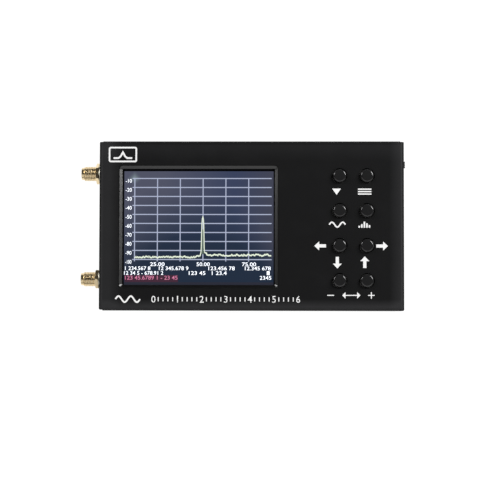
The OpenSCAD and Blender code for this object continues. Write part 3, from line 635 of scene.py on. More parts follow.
class Workpiece:
    """A mesh object that is shaped with Blender's operators; all sizes are in millimetres."""

    def __init__(self, name: str, obj: bpy.types.Object) -> None:
        """Takes up an object and puts its place into its mesh.

        Args:
            name: The piece's name.
            obj: The object, fresh from an operator.
        """
        self.obj = obj
        obj.name = name
        obj.data.name = name
        self.settle()

    @classmethod
    def plane(cls, name: str, size: Point, centre: Point) -> "Workpiece":
        """Adds a rectangle that faces +Z.

        Args:
            name: The piece's name.
            size: Its width and height.
            centre: Its middle.

        Returns:
            The piece.
        """
        stand_clear()
        bpy.ops.mesh.primitive_plane_add(size=1.0, location=metres(centre))
        bpy.context.active_object.scale = (size[0] * MM, size[1] * MM, 1.0)
        return cls(name, bpy.context.active_object)

    @classmethod
    def block(cls, name: str, low: Point, high: Point) -> "Workpiece":
        """Adds a cuboid between two corners.

        Args:
            name: The piece's name.
            low: Its lowest corner.
            high: Its highest corner.

        Returns:
            The piece.
        """
        stand_clear()
        bpy.ops.mesh.primitive_cube_add(size=1.0, location=metres((Vector(low) + Vector(high)) / 2))
        bpy.context.active_object.scale = metres(Vector(high) - Vector(low))
        return cls(name, bpy.context.active_object)

    @classmethod
    def bar(
        cls, name: str, ends: tuple[float, float], centre: tuple[float, float], size: tuple[float, float]
    ) -> "Workpiece":
        """Adds a cuboid by its ends along X, and its middle and its size in Y and Z."""
        low, high = ([at + side * full / 2 for at, full in zip(centre, size)] for side in (-1, 1))
        return cls.block(name, (ends[0], *low), (ends[1], *high))

    @classmethod
    def rod(cls, name: str, diameter: float, start: Point, end: Point, sides: int) -> "Workpiece":
        """Adds a cylinder or prism between two points.

        Args:
            name: The piece's name.
            diameter: Its diameter over the corners.
            start: Middle of one end.
            end: Middle of the other end.
            sides: Number of its sides.

        Returns:
            The piece.
        """
        stand_clear()
        run = Vector(end) - Vector(start)
        bpy.ops.mesh.primitive_cylinder_add(
            vertices=sides,
            radius=diameter / 2 * MM,
            depth=run.length * MM,
            location=metres((Vector(start) + Vector(end)) / 2),
            rotation=run.to_track_quat("Z", "Y").to_euler(),
        )
        return cls(name, bpy.context.active_object)

    @classmethod
    def line(cls, name: str, points: Sequence[Point]) -> "Workpiece":
        """Draws a chain of edges by extruding one vertex.

        Args:
            name: The piece's name.
            points: The chain's corners.

        Returns:
            The piece.
        """
        piece = cls.plane(name, (1.0, 1.0), points[0])
        with piece.edit():
            bpy.ops.mesh.merge(type="CENTER")
            for before, after in zip(points, points[1:]):
                step = metres(Vector(after) - Vector(before))
                bpy.ops.mesh.extrude_vertices_move(TRANSFORM_OT_translate={"value": step})
            piece.weld()
        return piece

    @classmethod
    def outline(cls, name: str, points: Sequence[Point], thickness: float) -> "Workpiece":
        """Fills a closed outline and gives it a thickness along +Z.

        Args:
            name: The piece's name.
            points: The outline's corners.
            thickness: Its thickness.

        Returns:
            The piece.
        """
        piece = cls.line(name, [*points, points[0]])
        with piece.edit():
            bpy.ops.mesh.edge_face_add()
            piece.extrude(UP * thickness)
            piece.weld()
        return piece

    @classmethod
    def ribbon(cls, name: str, points: Sequence[Point], rise: float) -> "Workpiece":
        """Draws a chain of edges and raises it along +Z.

        Args:
            name: The piece's name.
            points: The chain's corners.
            rise: Its height.

        Returns:
            The piece, which has no thickness yet.
        """
        piece = cls.line(name, points)
        with piece.edit():
            piece.extrude(UP * rise)
        return piece

    @classmethod
    def turned(
        cls, name: str, section: Sequence[Point], base: Point, axis: Point, steps: int, closed: bool = False
    ) -> "Workpiece":
        """Spins a half section about an axis.

        Args:
            name: The piece's name.
            section: Distance along the axis and radius of each corner.
            base: Point on the axis from which the distances count.
            axis: Unit vector of the axis.
            steps: Facets of a full turn.
            closed: Joins the last corner to the first.

        Returns:
            The piece.
        """
        along = Vector(axis)
        side = -OUT if abs(along.z) > 0.5 else UP
        points = [Vector(base) + along * reach + side * radius for reach, radius in section]
        piece = cls.line(name, [*points, points[0]] if closed else points)
        with piece.edit():
            piece.spin(math.tau, steps, base, axis)
            piece.weld()
        return piece

    @classmethod
    def number(
        cls, name: str, text: str, box: tuple[float, float], centre: Point, thickness: float
    ) -> "Workpiece":
        """Sets a number as a flat mesh.

        Args:
            name: The piece's name.
            text: The digits.
            box: Width and height that the digits fill; a width of 0 keeps their proportion.
            centre: Middle of their underside.
            thickness: Their thickness.

        Returns:
            The piece.
        """
        stand_clear()
        bpy.ops.object.text_add()
        writing = bpy.context.active_object
        writing.data.body = text
        writing.data.resolution_u = DIGIT_FACETS
        writing.data.offset = DIGIT_WEIGHT
        bpy.ops.object.convert(target="MESH")
        piece = cls(name, bpy.context.active_object)
        with piece.edit():
            bpy.ops.mesh.remove_doubles(threshold=DIGIT_WELD)
        # The digits are scaled to fill their box, and its middle is put on the centre
        corners = [vertex.co for vertex in piece.obj.data.vertices]
        low = Vector((min(c.x for c in corners), min(c.y for c in corners)))
        high = Vector((max(c.x for c in corners), max(c.y for c in corners)))
        rise = box[1] * MM / (high.y - low.y)
        width = box[0] * MM / (high.x - low.x) if box[0] else rise
        piece.obj.scale = (width, rise, 1.0)
        place = metres(centre)
        piece.obj.location = (
            place.x - (low.x + high.x) / 2 * width,
            place.y - (low.y + high.y) / 2 * rise,
            place.z,
        )
        piece.settle()
        with piece.edit():
            piece.extrude(UP * thickness)
            piece.weld(DIGIT_WELD)
        return piece

    def activate(self) -> None:
        """Makes this the only selected object."""
        stand_clear()
        self.obj.select_set(True)
        bpy.context.view_layer.objects.active = self.obj

    def settle(self) -> None:
        """Puts the object's place, turn and scale into its mesh."""
        self.activate()
        bpy.ops.object.transform_apply(location=True, rotation=True, scale=True)

    @contextmanager
    def edit(self) -> Iterator[None]:
        """Keeps the piece in edit mode for a with block, which starts with all of it selected."""
        self.activate()
        bpy.ops.object.mode_set(mode="EDIT")
        bpy.ops.mesh.select_mode(type=Kind.VERT.value)
        bpy.ops.mesh.select_all(action="SELECT")
        yield
        bpy.ops.object.mode_set(mode="OBJECT")

    def pick(self, kind: Kind, test: Callable[[Vector, Element], bool]) -> None:
        """Selects the elements that pass a test and nothing else, in edit mode.

        Args:
            kind: What to select.
            test: Takes an element's middle in millimetres and the element.
        """
        bpy.ops.mesh.select_mode(type=kind.value)
        bpy.ops.mesh.select_all(action="DESELECT")
        mesh = bmesh.from_edit_mesh(self.obj.data)
        elements = {Kind.VERT: mesh.verts, Kind.EDGE: mesh.edges, Kind.FACE: mesh.faces}[kind]
        for element in [element for element in elements if test(middle(element), element)]:
            element.select_set(True)
        mesh.select_flush_mode()
        bmesh.update_edit_mesh(self.obj.data)

    def extrude(self, move: Point) -> None:
        """Extrudes the selection along a line."""
        bpy.ops.mesh.extrude_region_move(TRANSFORM_OT_translate={"value": metres(move)})

    def shift(self, move: Point) -> None:
        """Moves the selection."""
        bpy.ops.transform.translate(value=metres(move))

    def inset(self, width: float, rise: float = 0.0) -> None:
        """Insets the selected faces, and raises what is inside."""
        bpy.ops.mesh.inset(thickness=width * MM, depth=rise * MM, use_even_offset=True)

    def round_off(self, radius: float, segments: int, corners: bool = False) -> None:
        """Bevels the selected edges, or the selected corners of a flat outline."""
        affect = "VERTICES" if corners else "EDGES"
        bpy.ops.mesh.bevel(offset=radius * MM, segments=segments, affect=affect, profile=0.5)

    def spin(self, angle: float, steps: int, centre: Point, axis: Point) -> None:
        """Sweeps the selection about an axis."""
        bpy.ops.mesh.spin(steps=steps, angle=angle, center=metres(centre), axis=axis)

    def turn(self, degrees: float, axis: str, centre: Point) -> None:
        """Turns the whole piece about an axis through a point.

        Args:
            degrees: The angle.
            axis: The letter of the axis.
            centre: The point.
        """
        angle = math.radians(degrees)
        with self.edit():
            bpy.ops.transform.rotate(value=angle, orient_axis=axis, center_override=metres(centre))

    def weld(self, distance: float = WELD) -> None:
        """Merges what lies in one place, turns all faces outwards and leaves the whole piece selected.

        Args:
            distance: How near two corners are that are merged.
        """
        bpy.ops.mesh.select_all(action="SELECT")
        bpy.ops.mesh.remove_doubles(threshold=distance * MM)
        bpy.ops.mesh.normals_make_consistent(inside=False)

    def slice_off(self, point: Point, normal: Point) -> None:
        """Cuts off and caps all that lies beyond a plane, in edit mode."""
        bpy.ops.mesh.select_all(action="SELECT")
        bpy.ops.mesh.bisect(plane_co=metres(point), plane_no=normal, clear_outer=True, use_fill=True)

    def modify(self, kind: str, **settings: object) -> "Workpiece":
        """Adds a modifier and applies it.

        Args:
            kind: The modifier's type.
            **settings: Its properties.

        Returns:
            This piece.
        """
        self.activate()
        bpy.ops.object.modifier_add(type=kind)
        modifier = self.obj.modifiers[-1]
        for key, value in settings.items():
            setattr(modifier, key, value)
        bpy.ops.object.modifier_apply(modifier=modifier.name)
        return self

    def shape(self, how: Cut, tool: "Workpiece") -> "Workpiece":
        """Cuts the piece with a tool solid, which is used up.

        Args:
            how: What the tool does.
            tool: The solid.

        Returns:
            This piece.
        """
        self.modify("BOOLEAN", operation=how.value, solver="EXACT", object=tool.obj)
        bpy.data.objects.remove(tool.obj)
        return self

    def soften(self, width: float, segments: int = 2, angle: float = 40.0) -> "Workpiece":
        """Breaks the sharp edges and shades the rest smooth.

        Args:
            width: Width of the broken edges; 0 leaves them.
            segments: Facets across an edge.
            angle: Angle in degrees from which an edge is sharp.

        Returns:
            This piece.
        """
        limit = math.radians(angle)
        if width:
            edges = {"limit_method": "ANGLE", "angle_limit": limit}
            self.modify("BEVEL", width=width * MM, segments=segments, **edges)
        with self.edit():
            self.weld(FINE_WELD)
        bpy.ops.object.shade_smooth_by_angle(angle=limit)
        return self.modify("WEIGHTED_NORMAL", keep_sharp=True)

    def repeat(self, count: int, step: Point) -> "Workpiece":
        """Makes the piece a row of itself, each one a step from the one before."""
        how = {"use_relative_offset": False, "use_constant_offset": True}
        return self.modify("ARRAY", count=count, constant_offset_displace=metres(step), **how)

    @staticmethod
    def union(name: str, pieces: Sequence["Workpiece"]) -> "Workpiece":
        """Joins pieces into the first of them.

        Args:
            name: The whole's name.
            pieces: Two pieces or more, which are used up.

        Returns:
            The whole.
        """
        whole = pieces[0]
        whole.activate()
        for other in pieces[1:]:
            other.obj.select_set(True)
        bpy.ops.object.join()
        whole.obj.name = name
        return whole

    def copy(self, name: str, move: Point) -> "Workpiece":
        """Copies the piece, with a mesh of its own.

        Args:
            name: The copy's name.
            move: The way from the piece to its copy.

        Returns:
            The copy.
        """
        self.activate()
        bpy.ops.object.duplicate(linked=False)
        twin = bpy.context.active_object
        twin.location = metres(move)
        return Workpiece(name, twin)

    def dress(self, finish: Finish, slot: Slot, nodes: Sequence[str] = (), body: str = CASE_BODY) -> None:
        """Gives the piece its finish and its place in the frame.

        Args:
            finish: The finish.
            slot: The record's slot that it stands for; not used.
            nodes: CAD nodes that the piece stands for.
            body: CAD body that it moves with.
        """
        self.obj.data.materials.clear()
        self.obj.data.materials.append(finish.material())
        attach(self.obj, body)
        if nodes:
            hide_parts(*nodes)
        LOG.info("%s: %d faces", self.obj.name, len(self.obj.data.polygons))


# Sub-assemblies


@dataclass
class Shell:
    """The folded black sheet that is front panel and walls in one, and the cover that closes its back."""

    width: float = 132.0
    height: float = 73.5
    depth: float = 25.0
    sheet: float = 1.2
    bend: float = 1.5
    bend_steps: int = 8
    seam: float = 0.1
    side_reach: float = 36.4
    flush_reach: float = 36.7
    end_rounds: tuple[float, float] = (0.65, 0.25)
    edge_break: float = 0.12
    screw_break: float = 0.03
    cover_gap: float = 0.2
    cover_corner: float = 1.0
    screw_x: float = 61.0
    screw_y: float = 32.25
    head: float = 3.8
    head_sink: float = 0.05
    shank: float = 2.0
    screw_end: float = 4.2
    screw_clear: float = 0.04
    screw_steps: int = 40

    def build(self, openings: Sequence[Workpiece]) -> None:
        """Makes the shell, the cover and its screws.

        Args:
            openings: Tool solids of the shell's openings, which are used up.
        """
        self._fold_sheet(openings).dress(FINISHES[Slot.COAT], Slot.COAT, ["front_shell"])
        self._back_cover().dress(FINISHES[Slot.COAT], Slot.COAT, ["back_cover"])
        self._screws().dress(FINISHES[Slot.SCREW], Slot.SCREW, ["cover_screws"])

    def _fold_sheet(self, openings: Sequence[Workpiece]) -> Workpiece:
        """Folds the four walls down from the panel, gives the sheet its thickness and opens it.

        Args:
            openings: Tool solids of the openings.

        Returns:
            The shell.
        """
        flat_x = self.width / 2 - self.bend
        flat_y = self.height / 2 - self.bend
        bend_z = self.depth - self.bend
        shell = Workpiece.plane("folded_shell", (2 * flat_x, 2 * flat_y), (0.0, 0.0, self.depth))
        with shell.edit():
            # Each wall is an edge of the panel, spun down round its bend and drawn to the back
            for side in (-1, 1):
                end_wall = ((side * flat_x, 0.0), (0, -side, 0))
                long_wall = ((0.0, side * flat_y), (side, 0, 0))
                for fold, axis in (end_wall, long_wall):
                    hinge = Vector((*fold, self.depth))
                    shell.pick(Kind.EDGE, lambda at, _: (at - hinge).length < TOUCH)
                    shell.spin(math.pi / 2, self.bend_steps, (*fold, bend_z), axis)
                    shell.extrude(UP * -bend_z)
            # The end walls lap over the long ones, furthest at the lower right
            # The long walls step back from them by the seam
            for side in (-1, 1):
                for end in (-1, 1):
                    shell.pick(
                        Kind.EDGE,
                        lambda at, _: side * at.x > flat_x + TOUCH and abs(at.y - end * flat_y) < TOUCH,
                    )
                    reach = self.flush_reach if side > 0 > end else self.side_reach
                    shell.extrude((0.0, end * (reach - flat_y), 0.0))
                shell.pick(
                    Kind.VERT,
                    lambda at, _: abs(at.x - side * flat_x) < TOUCH
                    and abs(at.y) > flat_y + TOUCH
                    and at.z < self.depth - TOUCH / 2,
                )
                shell.shift((-side * self.seam, 0.0, 0.0))
            shell.weld()
        shell.modify("SOLIDIFY", thickness=self.sheet * MM, offset=-1.0, use_even_offset=True)
        with shell.edit():
            for end, radius in zip((-1, 1), self.end_rounds):
                shell.pick(
                    Kind.EDGE,
                    lambda at, _: end * at.y > self.side_reach - TOUCH
                    and math.hypot(abs(at.x) - flat_x, max(at.z - bend_z, 0.0)) > self.bend - TOUCH
                    and abs(at.x) > flat_x + TOUCH,
                )
                shell.round_off(radius, segments=4)
        shell.shape(Cut.AWAY, Workpiece.union("openings", openings))
        return shell.soften(self.edge_break)

    @property
    def _at_screws(self) -> list[Vector]:
        """The places of the four screws."""
        signs = ((-1, -1), (-1, 1), (1, -1), (1, 1))
        return [Vector((self.screw_x * side, self.screw_y * end, 0.0)) for side, end in signs]

    @property
    def _cone_top(self) -> float:
        """Where a screw's head goes over into its shank."""
        return self.head_sink + (self.head - self.shank) / 2

    def _back_cover(self) -> Workpiece:
        """Makes the flat cover with its countersunk holes.

        Returns:
            The cover.
        """
        half_x = self.width / 2 - self.sheet - self.cover_gap
        half_y = self.height / 2 - self.sheet - self.cover_gap
        cover = Workpiece.block("back_cover_plate", (-half_x, -half_y, 0.0), (half_x, half_y, self.sheet))
        with cover.edit():
            cover.pick(Kind.EDGE, lambda at, _: abs(at.z - self.sheet / 2) < TOUCH)
            cover.round_off(self.cover_corner, segments=6)
        head_r, shank_r = self.head / 2 + self.screw_clear, self.shank / 2 + self.screw_clear
        below, above = -1.0, 2.0
        section = [(below, 0.0), (below, head_r), (self.head_sink, head_r)]
        section += [(self._cone_top, shank_r), (above, shank_r), (above, 0.0)]
        drills = [Workpiece.turned("drill", section, at, UP, self.screw_steps) for at in self._at_screws]
        cover.shape(Cut.AWAY, Workpiece.union("drills", drills))
        return cover.soften(self.edge_break)

    def _screws(self) -> Workpiece:
        """Makes one countersunk screw with a cross recess, and its three copies.

        Returns:
            The four screws as one piece.
        """
        first, *others = self._at_screws
        head_r, shank_r = self.head / 2, self.shank / 2
        rim, crown, point = 0.12, 0.08, 0.3
        section = [
            (self.head_sink, 0.0),
            (self.head_sink, head_r - rim),
            (self.head_sink + crown, head_r - rim / 2),
            (self._cone_top, shank_r),
            (self.screw_end - point, shank_r),
            (self.screw_end, shank_r - point),
            (self.screw_end, 0.0),
        ]
        screw = Workpiece.turned("cover_screw", section, first, UP, self.screw_steps)
        arm, slot, below = self.head / 4, self.head / 16, -1.0
        bottom = self.head_sink + (self.head - self.shank) / 4
        for half_x, half_y in ((arm, slot), (slot, arm)):
            low, high = Vector((-half_x, -half_y, below)), Vector((half_x, half_y, bottom))
            screw.shape(Cut.AWAY, Workpiece.block("recess", first + low, first + high))
        screw.soften(self.screw_break)
        return Workpiece.union("cover_screw", [screw, *(screw.copy("copy", at - first) for at in others)])


@dataclass(frozen=True)
class Trace:
    """The measured curve on the display: a noisy floor with one narrow peak."""

    left: float = -50.7
    right: float = 8.6
    steps: int = 200
    floor_left: float = -13.5
    floor_right: float = -12.65
    peak_x: float = -21.1
    peak_y: float = 4.3
    slim: float = 1.0
    foot: float = 1.9
    jitter: float = 0.42
    width: float = 0.62
    thinned: float = 0.62
    seed: int = 7

    def points(self) -> list[tuple[float, float]]:
        """Works out the curve's corners.

        Returns:
            The corners from left to right.
        """
        noise = random.Random(self.seed)
        heights: dict[float, float] = {}
        for step in range(self.steps + 1):
            x = self.left + (self.right - self.left) * step / self.steps
            away = abs(x - self.peak_x)
            if away > self.slim:
                floor = self.floor_left if x < self.peak_x else self.floor_right
                bulge = math.exp(-((away / self.foot) ** 2))
                heights[x] = floor + bulge + noise.uniform(-self.jitter, self.jitter)
        shoulders = ((0.0, 1.0), (0.2, 0.94), (0.4, 0.8), (0.52, 0.5), (0.62, 0.2), (0.76, 0.07))
        for away, share in shoulders:
            for side in (-1, 1):
                rise = (self.peak_y - self.floor_right) * share
                heights[self.peak_x + side * away] = self.floor_right + rise
        return sorted(heights.items())

    def build(self, z: float, thickness: float) -> Workpiece:
        """Makes the curve as a raised line, which is thinner at its peak.

        Args:
            z: Height of its underside.
            thickness: Its thickness.

        Returns:
            The curve.
        """
        curve = Workpiece.ribbon("display_trace", [(x, y, z) for x, y in self.points()], thickness)
        wide = curve.obj.vertex_groups.new(name="floor")
        for vertex in curve.obj.data.vertices:
            if abs(vertex.co.x - self.peak_x * MM) > self.slim * MM:
                wide.add([vertex.index], 1.0, "REPLACE")
        widths = {"vertex_group": wide.name, "thickness_vertex_group": self.thinned}
        return curve.modify("SOLIDIFY", thickness=self.width * MM, offset=0.0, **widths)


@dataclass
class Display:
    """The sloped frame in the panel's window, and the lit glass behind it."""

    centre: tuple[float, float] = (-22.9, -0.45)
    width: float = 68.8
    height: float = 53.1
    corner: float = 1.7
    land: float = 0.15
    slope: float = 1.25
    drop: float = 0.8
    top: float = 25.0
    panel: float = 23.8
    foot: float = 23.0
    lap: float = 1.2
    window_gap: float = 0.1
    corner_steps: int = 8
    frame_break: float = 0.06
    glass_break: float = 0.08
    glass_low: tuple[float, float, float] = (-58.0, -27.3, 21.4)
    glass_high: tuple[float, float, float] = (12.9, 26.7, 22.7)
    ledge_x: float = 18.4
    ledge_z: float = 22.05
    mark: float = 0.01
    trace: Trace = Trace()
    grid_low: tuple[float, float] = (-50.75, -15.4)
    grid_high: tuple[float, float] = (8.75, 20.65)
    grid_line: float = 0.44
    grid_tick: float = 1.0
    column: float = 9.91
    columns: int = 6
    row: float = 3.915
    rows: int = 10
    digit: float = 1.64
    lowest_row: float = -22.5
    band_low: tuple[float, float] = (-55.0, -24.4)
    band_high: tuple[float, float] = (-31.8, -21.35)
    strip_half: float = 0.4
    strip_ends: tuple[float, float] = (-12.3, -1.5)

    def opening(self) -> Workpiece:
        """Makes the tool solid of the window.

        Returns:
            The tool.
        """
        half_x, half_y, half_z = self.width / 2 + self.window_gap, self.height / 2 + self.window_gap, 4.0
        centre, reach = Vector((*self.centre, self.top)), Vector((half_x, half_y, half_z))
        tool = Workpiece.block("window", centre - reach, centre + reach)
        with tool.edit():
            tool.pick(Kind.EDGE, lambda at, _: abs(at.z - self.top) < TOUCH)
            tool.round_off(self.corner + self.window_gap, self.corner_steps)
        return tool

    def build(self) -> None:
        """Makes the frame, the glass and the picture on it."""
        self._frame().dress(FINISHES[Slot.BEZEL], Slot.BEZEL, ["display_bezel"])
        self._glass().dress(FINISHES[Slot.GLASS], Slot.GLASS, ["lcd_glass"])
        self._grid().dress(GRID_GLOW, Slot.GLASS)
        self.trace.build(self._layer(2), self.mark).dress(TRACE_GLOW, Slot.GLASS)
        self._peak().dress(PEAK_GLOW, Slot.GLASS)
        self._numbers().dress(WHITE_GLOW, Slot.GLASS)
        self._band().dress(BAND_GLOW, Slot.GLASS)
        self._status().dress(PINK_GLOW, Slot.GLASS)

    def _frame(self) -> Workpiece:
        """Makes the frame from one rectangle: land, slope, inner wall, then outer wall and flange.

        Returns:
            The frame.
        """
        piece = Workpiece.plane("display_frame", (self.width, self.height), (*self.centre, self.top))
        with piece.edit():
            piece.round_off(self.corner, self.corner_steps, corners=True)
            piece.pick(Kind.FACE, lambda at, face: True)
            piece.inset(self.land)
            piece.inset(self.slope, -self.drop)
            piece.extrude(UP * (self.foot - self.top + self.drop))
            bpy.ops.mesh.delete(type="FACE")
            piece.pick(Kind.EDGE, lambda at, edge: edge.is_boundary and at.z > self.top - TOUCH)
            piece.extrude(UP * (self.panel - self.top))
            piece.extrude(UP * 0.0)
            bpy.ops.transform.resize(
                value=(1 + 2 * self.lap / self.width, 1 + 2 * self.lap / self.height, 1.0),
                center_override=metres((*self.centre, self.panel)),
            )
            piece.extrude(UP * (self.foot - self.panel))
            piece.pick(Kind.EDGE, lambda at, edge: edge.is_boundary)
            bpy.ops.mesh.bridge_edge_loops()
            piece.weld()
        return piece.soften(self.frame_break, segments=3, angle=25.0)

    def _glass(self) -> Workpiece:
        """Makes the rear sheet with its ledge, and the front sheet on it.

        Returns:
            Both sheets as one piece.
        """
        ledge = (self.ledge_x, self.glass_high[1], self.ledge_z)
        front_low = (*self.glass_low[:2], self.ledge_z + self.mark)
        corners = ((self.glass_low, ledge), (front_low, self.glass_high))
        sheets = [Workpiece.block("sheet", low, high).soften(self.glass_break) for low, high in corners]
        return Workpiece.union("display_sheets", sheets)

    def _layer(self, number: int) -> float:
        """Gives the height of a layer of marks on the glass."""
        return self.glass_high[2] + self.mark * number

    def _bar(self, name: str, low: Point, high: Point, layer: int = 0) -> Workpiece:
        """Makes one flat lit bar on the glass.

        Args:
            name: The piece's name.
            low: Its lower left corner.
            high: Its upper right corner.
            layer: Layers of marks that lie under it.

        Returns:
            The bar.
        """
        z = self._layer(layer)
        corners = [(low[0], low[1], z), (high[0], low[1], z), (high[0], high[1], z), (low[0], high[1], z)]
        return Workpiece.outline(name, corners, self.mark)

    def _grid(self) -> Workpiece:
        """Makes the graticule: one upright and one level line, each repeated.

        Returns:
            The graticule.
        """
        (left, bottom), (right, top), half = self.grid_low, self.grid_high, self.grid_line / 2
        upright = self._bar("upright", (left - half, bottom), (left + half, top))
        level = self._bar("level", (left - self.grid_tick, top - half), (right, top + half))
        upright.repeat(self.columns, (self.column, 0.0, 0.0))
        level.repeat(self.rows, (0.0, -self.row, 0.0))
        return Workpiece.union("display_grid", [upright, level])

    def _peak(self) -> Workpiece:
        """Makes the dim strip inside the trace's peak, over the graticule."""
        (bottom, top), x, half = self.strip_ends, self.trace.peak_x, self.strip_half
        return self._bar("display_peak", (x - half, bottom), (x + half, top), layer=1)

    def _figure(self, name: str, text: str, box: tuple[float, float], x: float, y: float) -> Workpiece:
        """Sets one number on the glass, in a box of the given size and middle."""
        return Workpiece.number(name, text, box, (x, y, self._layer(2)), self.mark)

    def _numbers(self) -> Workpiece:
        """Sets plain numbers along the graticule and in the rows under it.

        Returns:
            The numbers as one piece.
        """
        label_x, label_y, label_width = -53.4, 19.6, 2.65
        labels = []
        for row in range(self.rows):
            labels.append((f"-{10 * (row + 1)}", label_width, label_x, label_y - self.row * row))
        rows = {
            -16.62: (("25.00", 6.3, -40.8), ("50.00", 5.7, -20.9), ("75.00", 6.1, -1.0)),
            -18.4: (
                ("1 234.567 8", 11.0, -49.3),
                ("12 345.678 9", 12.8, -33.7),
                ("123.456 78", 11.4, -12.9),
                ("12.345 678", 11.2, 2.8),
            ),
            -20.45: (
                ("12 34 5 - 678.91 2", 17.0, -46.7),
                ("123 45", 7.2, -23.5),
                ("1 23.4", 6.4, -13.9),
                ("1", 1.2, 7.3),
            ),
            self.lowest_row: (("2345", 5.0, 6.15),),
        }
        labels += [(text, width, x, y) for y, row in rows.items() for text, width, x in row]
        figures = [self._figure("figure", text, (width, self.digit), x, y) for text, width, x, y in labels]
        return Workpiece.union("display_numbers", figures)

    def _band(self) -> Workpiece:
        """Makes the dim red band behind the lowest row."""
        return self._bar("display_band", self.band_low, self.band_high)

    def _status(self) -> Workpiece:
        """Sets the number in the lowest row."""
        text, box, x = "123 45.6789 1 - 23 45", (22.8, 1.75), -43.4
        return self._figure("display_status", text, box, x, self.lowest_row)


class Key(Enum):
    """The eight keys, by column and row from the upper left."""

    MARKER = (0, 0)
    MENU = (1, 0)
    FREQUENCY = (0, 1)
    AMPLITUDE = (1, 1)
    LEFT = (0, 2)
    RIGHT = (1, 2)
    DOWN = (0, 3)
    UP = (1, 3)


@dataclass
class Keypad:
    """Eight round, glossy key caps, each on its own button."""

    left: float = 38.1
    top: float = 21.6
    pitch_x: float = 11.8
    pitch_y: float = 15.1
    diameter: float = 5.7
    hole: float = 6.6
    low: float = 23.7
    high: float = 26.5
    edge: float = 0.8
    crown: float = 0.05
    stem: float = 3.54
    stem_top: float = 24.8
    steps: int = 64

    def place(self, key: Key) -> Vector:
        """Gives a key's place on the panel."""
        column, row = key.value
        return Vector((self.left + self.pitch_x * column, self.top - self.pitch_y * row, 0.0))

    def openings(self) -> list[Workpiece]:
        """Makes the tool solids of the key holes.

        Returns:
            The tools.
        """
        low, high = UP * 21.0, UP * 30.0
        places = [self.place(key) for key in Key]
        return [Workpiece.rod("key_hole", self.hole, at + low, at + high, self.steps) for at in places]

    def build(self) -> None:
        """Turns one cap and copies it to each key."""
        marker, at = self._cap(Key.MARKER), self.place(Key.MARKER)
        caps = [(key, marker.copy("cap", self.place(key) - at)) for key in Key if key is not Key.MARKER]
        for key, cap in [*caps, (Key.MARKER, marker)]:
            name = key.name.lower()
            cap.obj.name = f"{name}_key_cap"
            cap.dress(FINISHES[Slot.KEY], Slot.KEY, [f"{name}_key"], f"{name}_button")

    def _cap(self, key: Key) -> Workpiece:
        """Turns one cap: a bore for the stem, a rounded rim and a slightly crowned top.

        Args:
            key: The key that it belongs to.

        Returns:
            The cap.
        """
        radius, bore = self.diameter / 2, self.stem / 2
        rim_z = self.high - self.crown - self.edge
        facets = 8
        arc = [math.pi / 2 * step / facets for step in range(facets + 1)]
        section = [(self.stem_top, 0.0), (self.stem_top, bore), (self.low, bore), (self.low, radius)]
        section += [(rim_z + self.edge * math.sin(a), radius - self.edge * (1 - math.cos(a))) for a in arc]
        flat = radius - self.edge
        section += [(self.high - self.crown * share**2, flat * share) for share in (0.75, 0.5, 0.25, 0.0)]
        return Workpiece.turned("cap", section, self.place(key), UP, self.steps).soften(0.0)


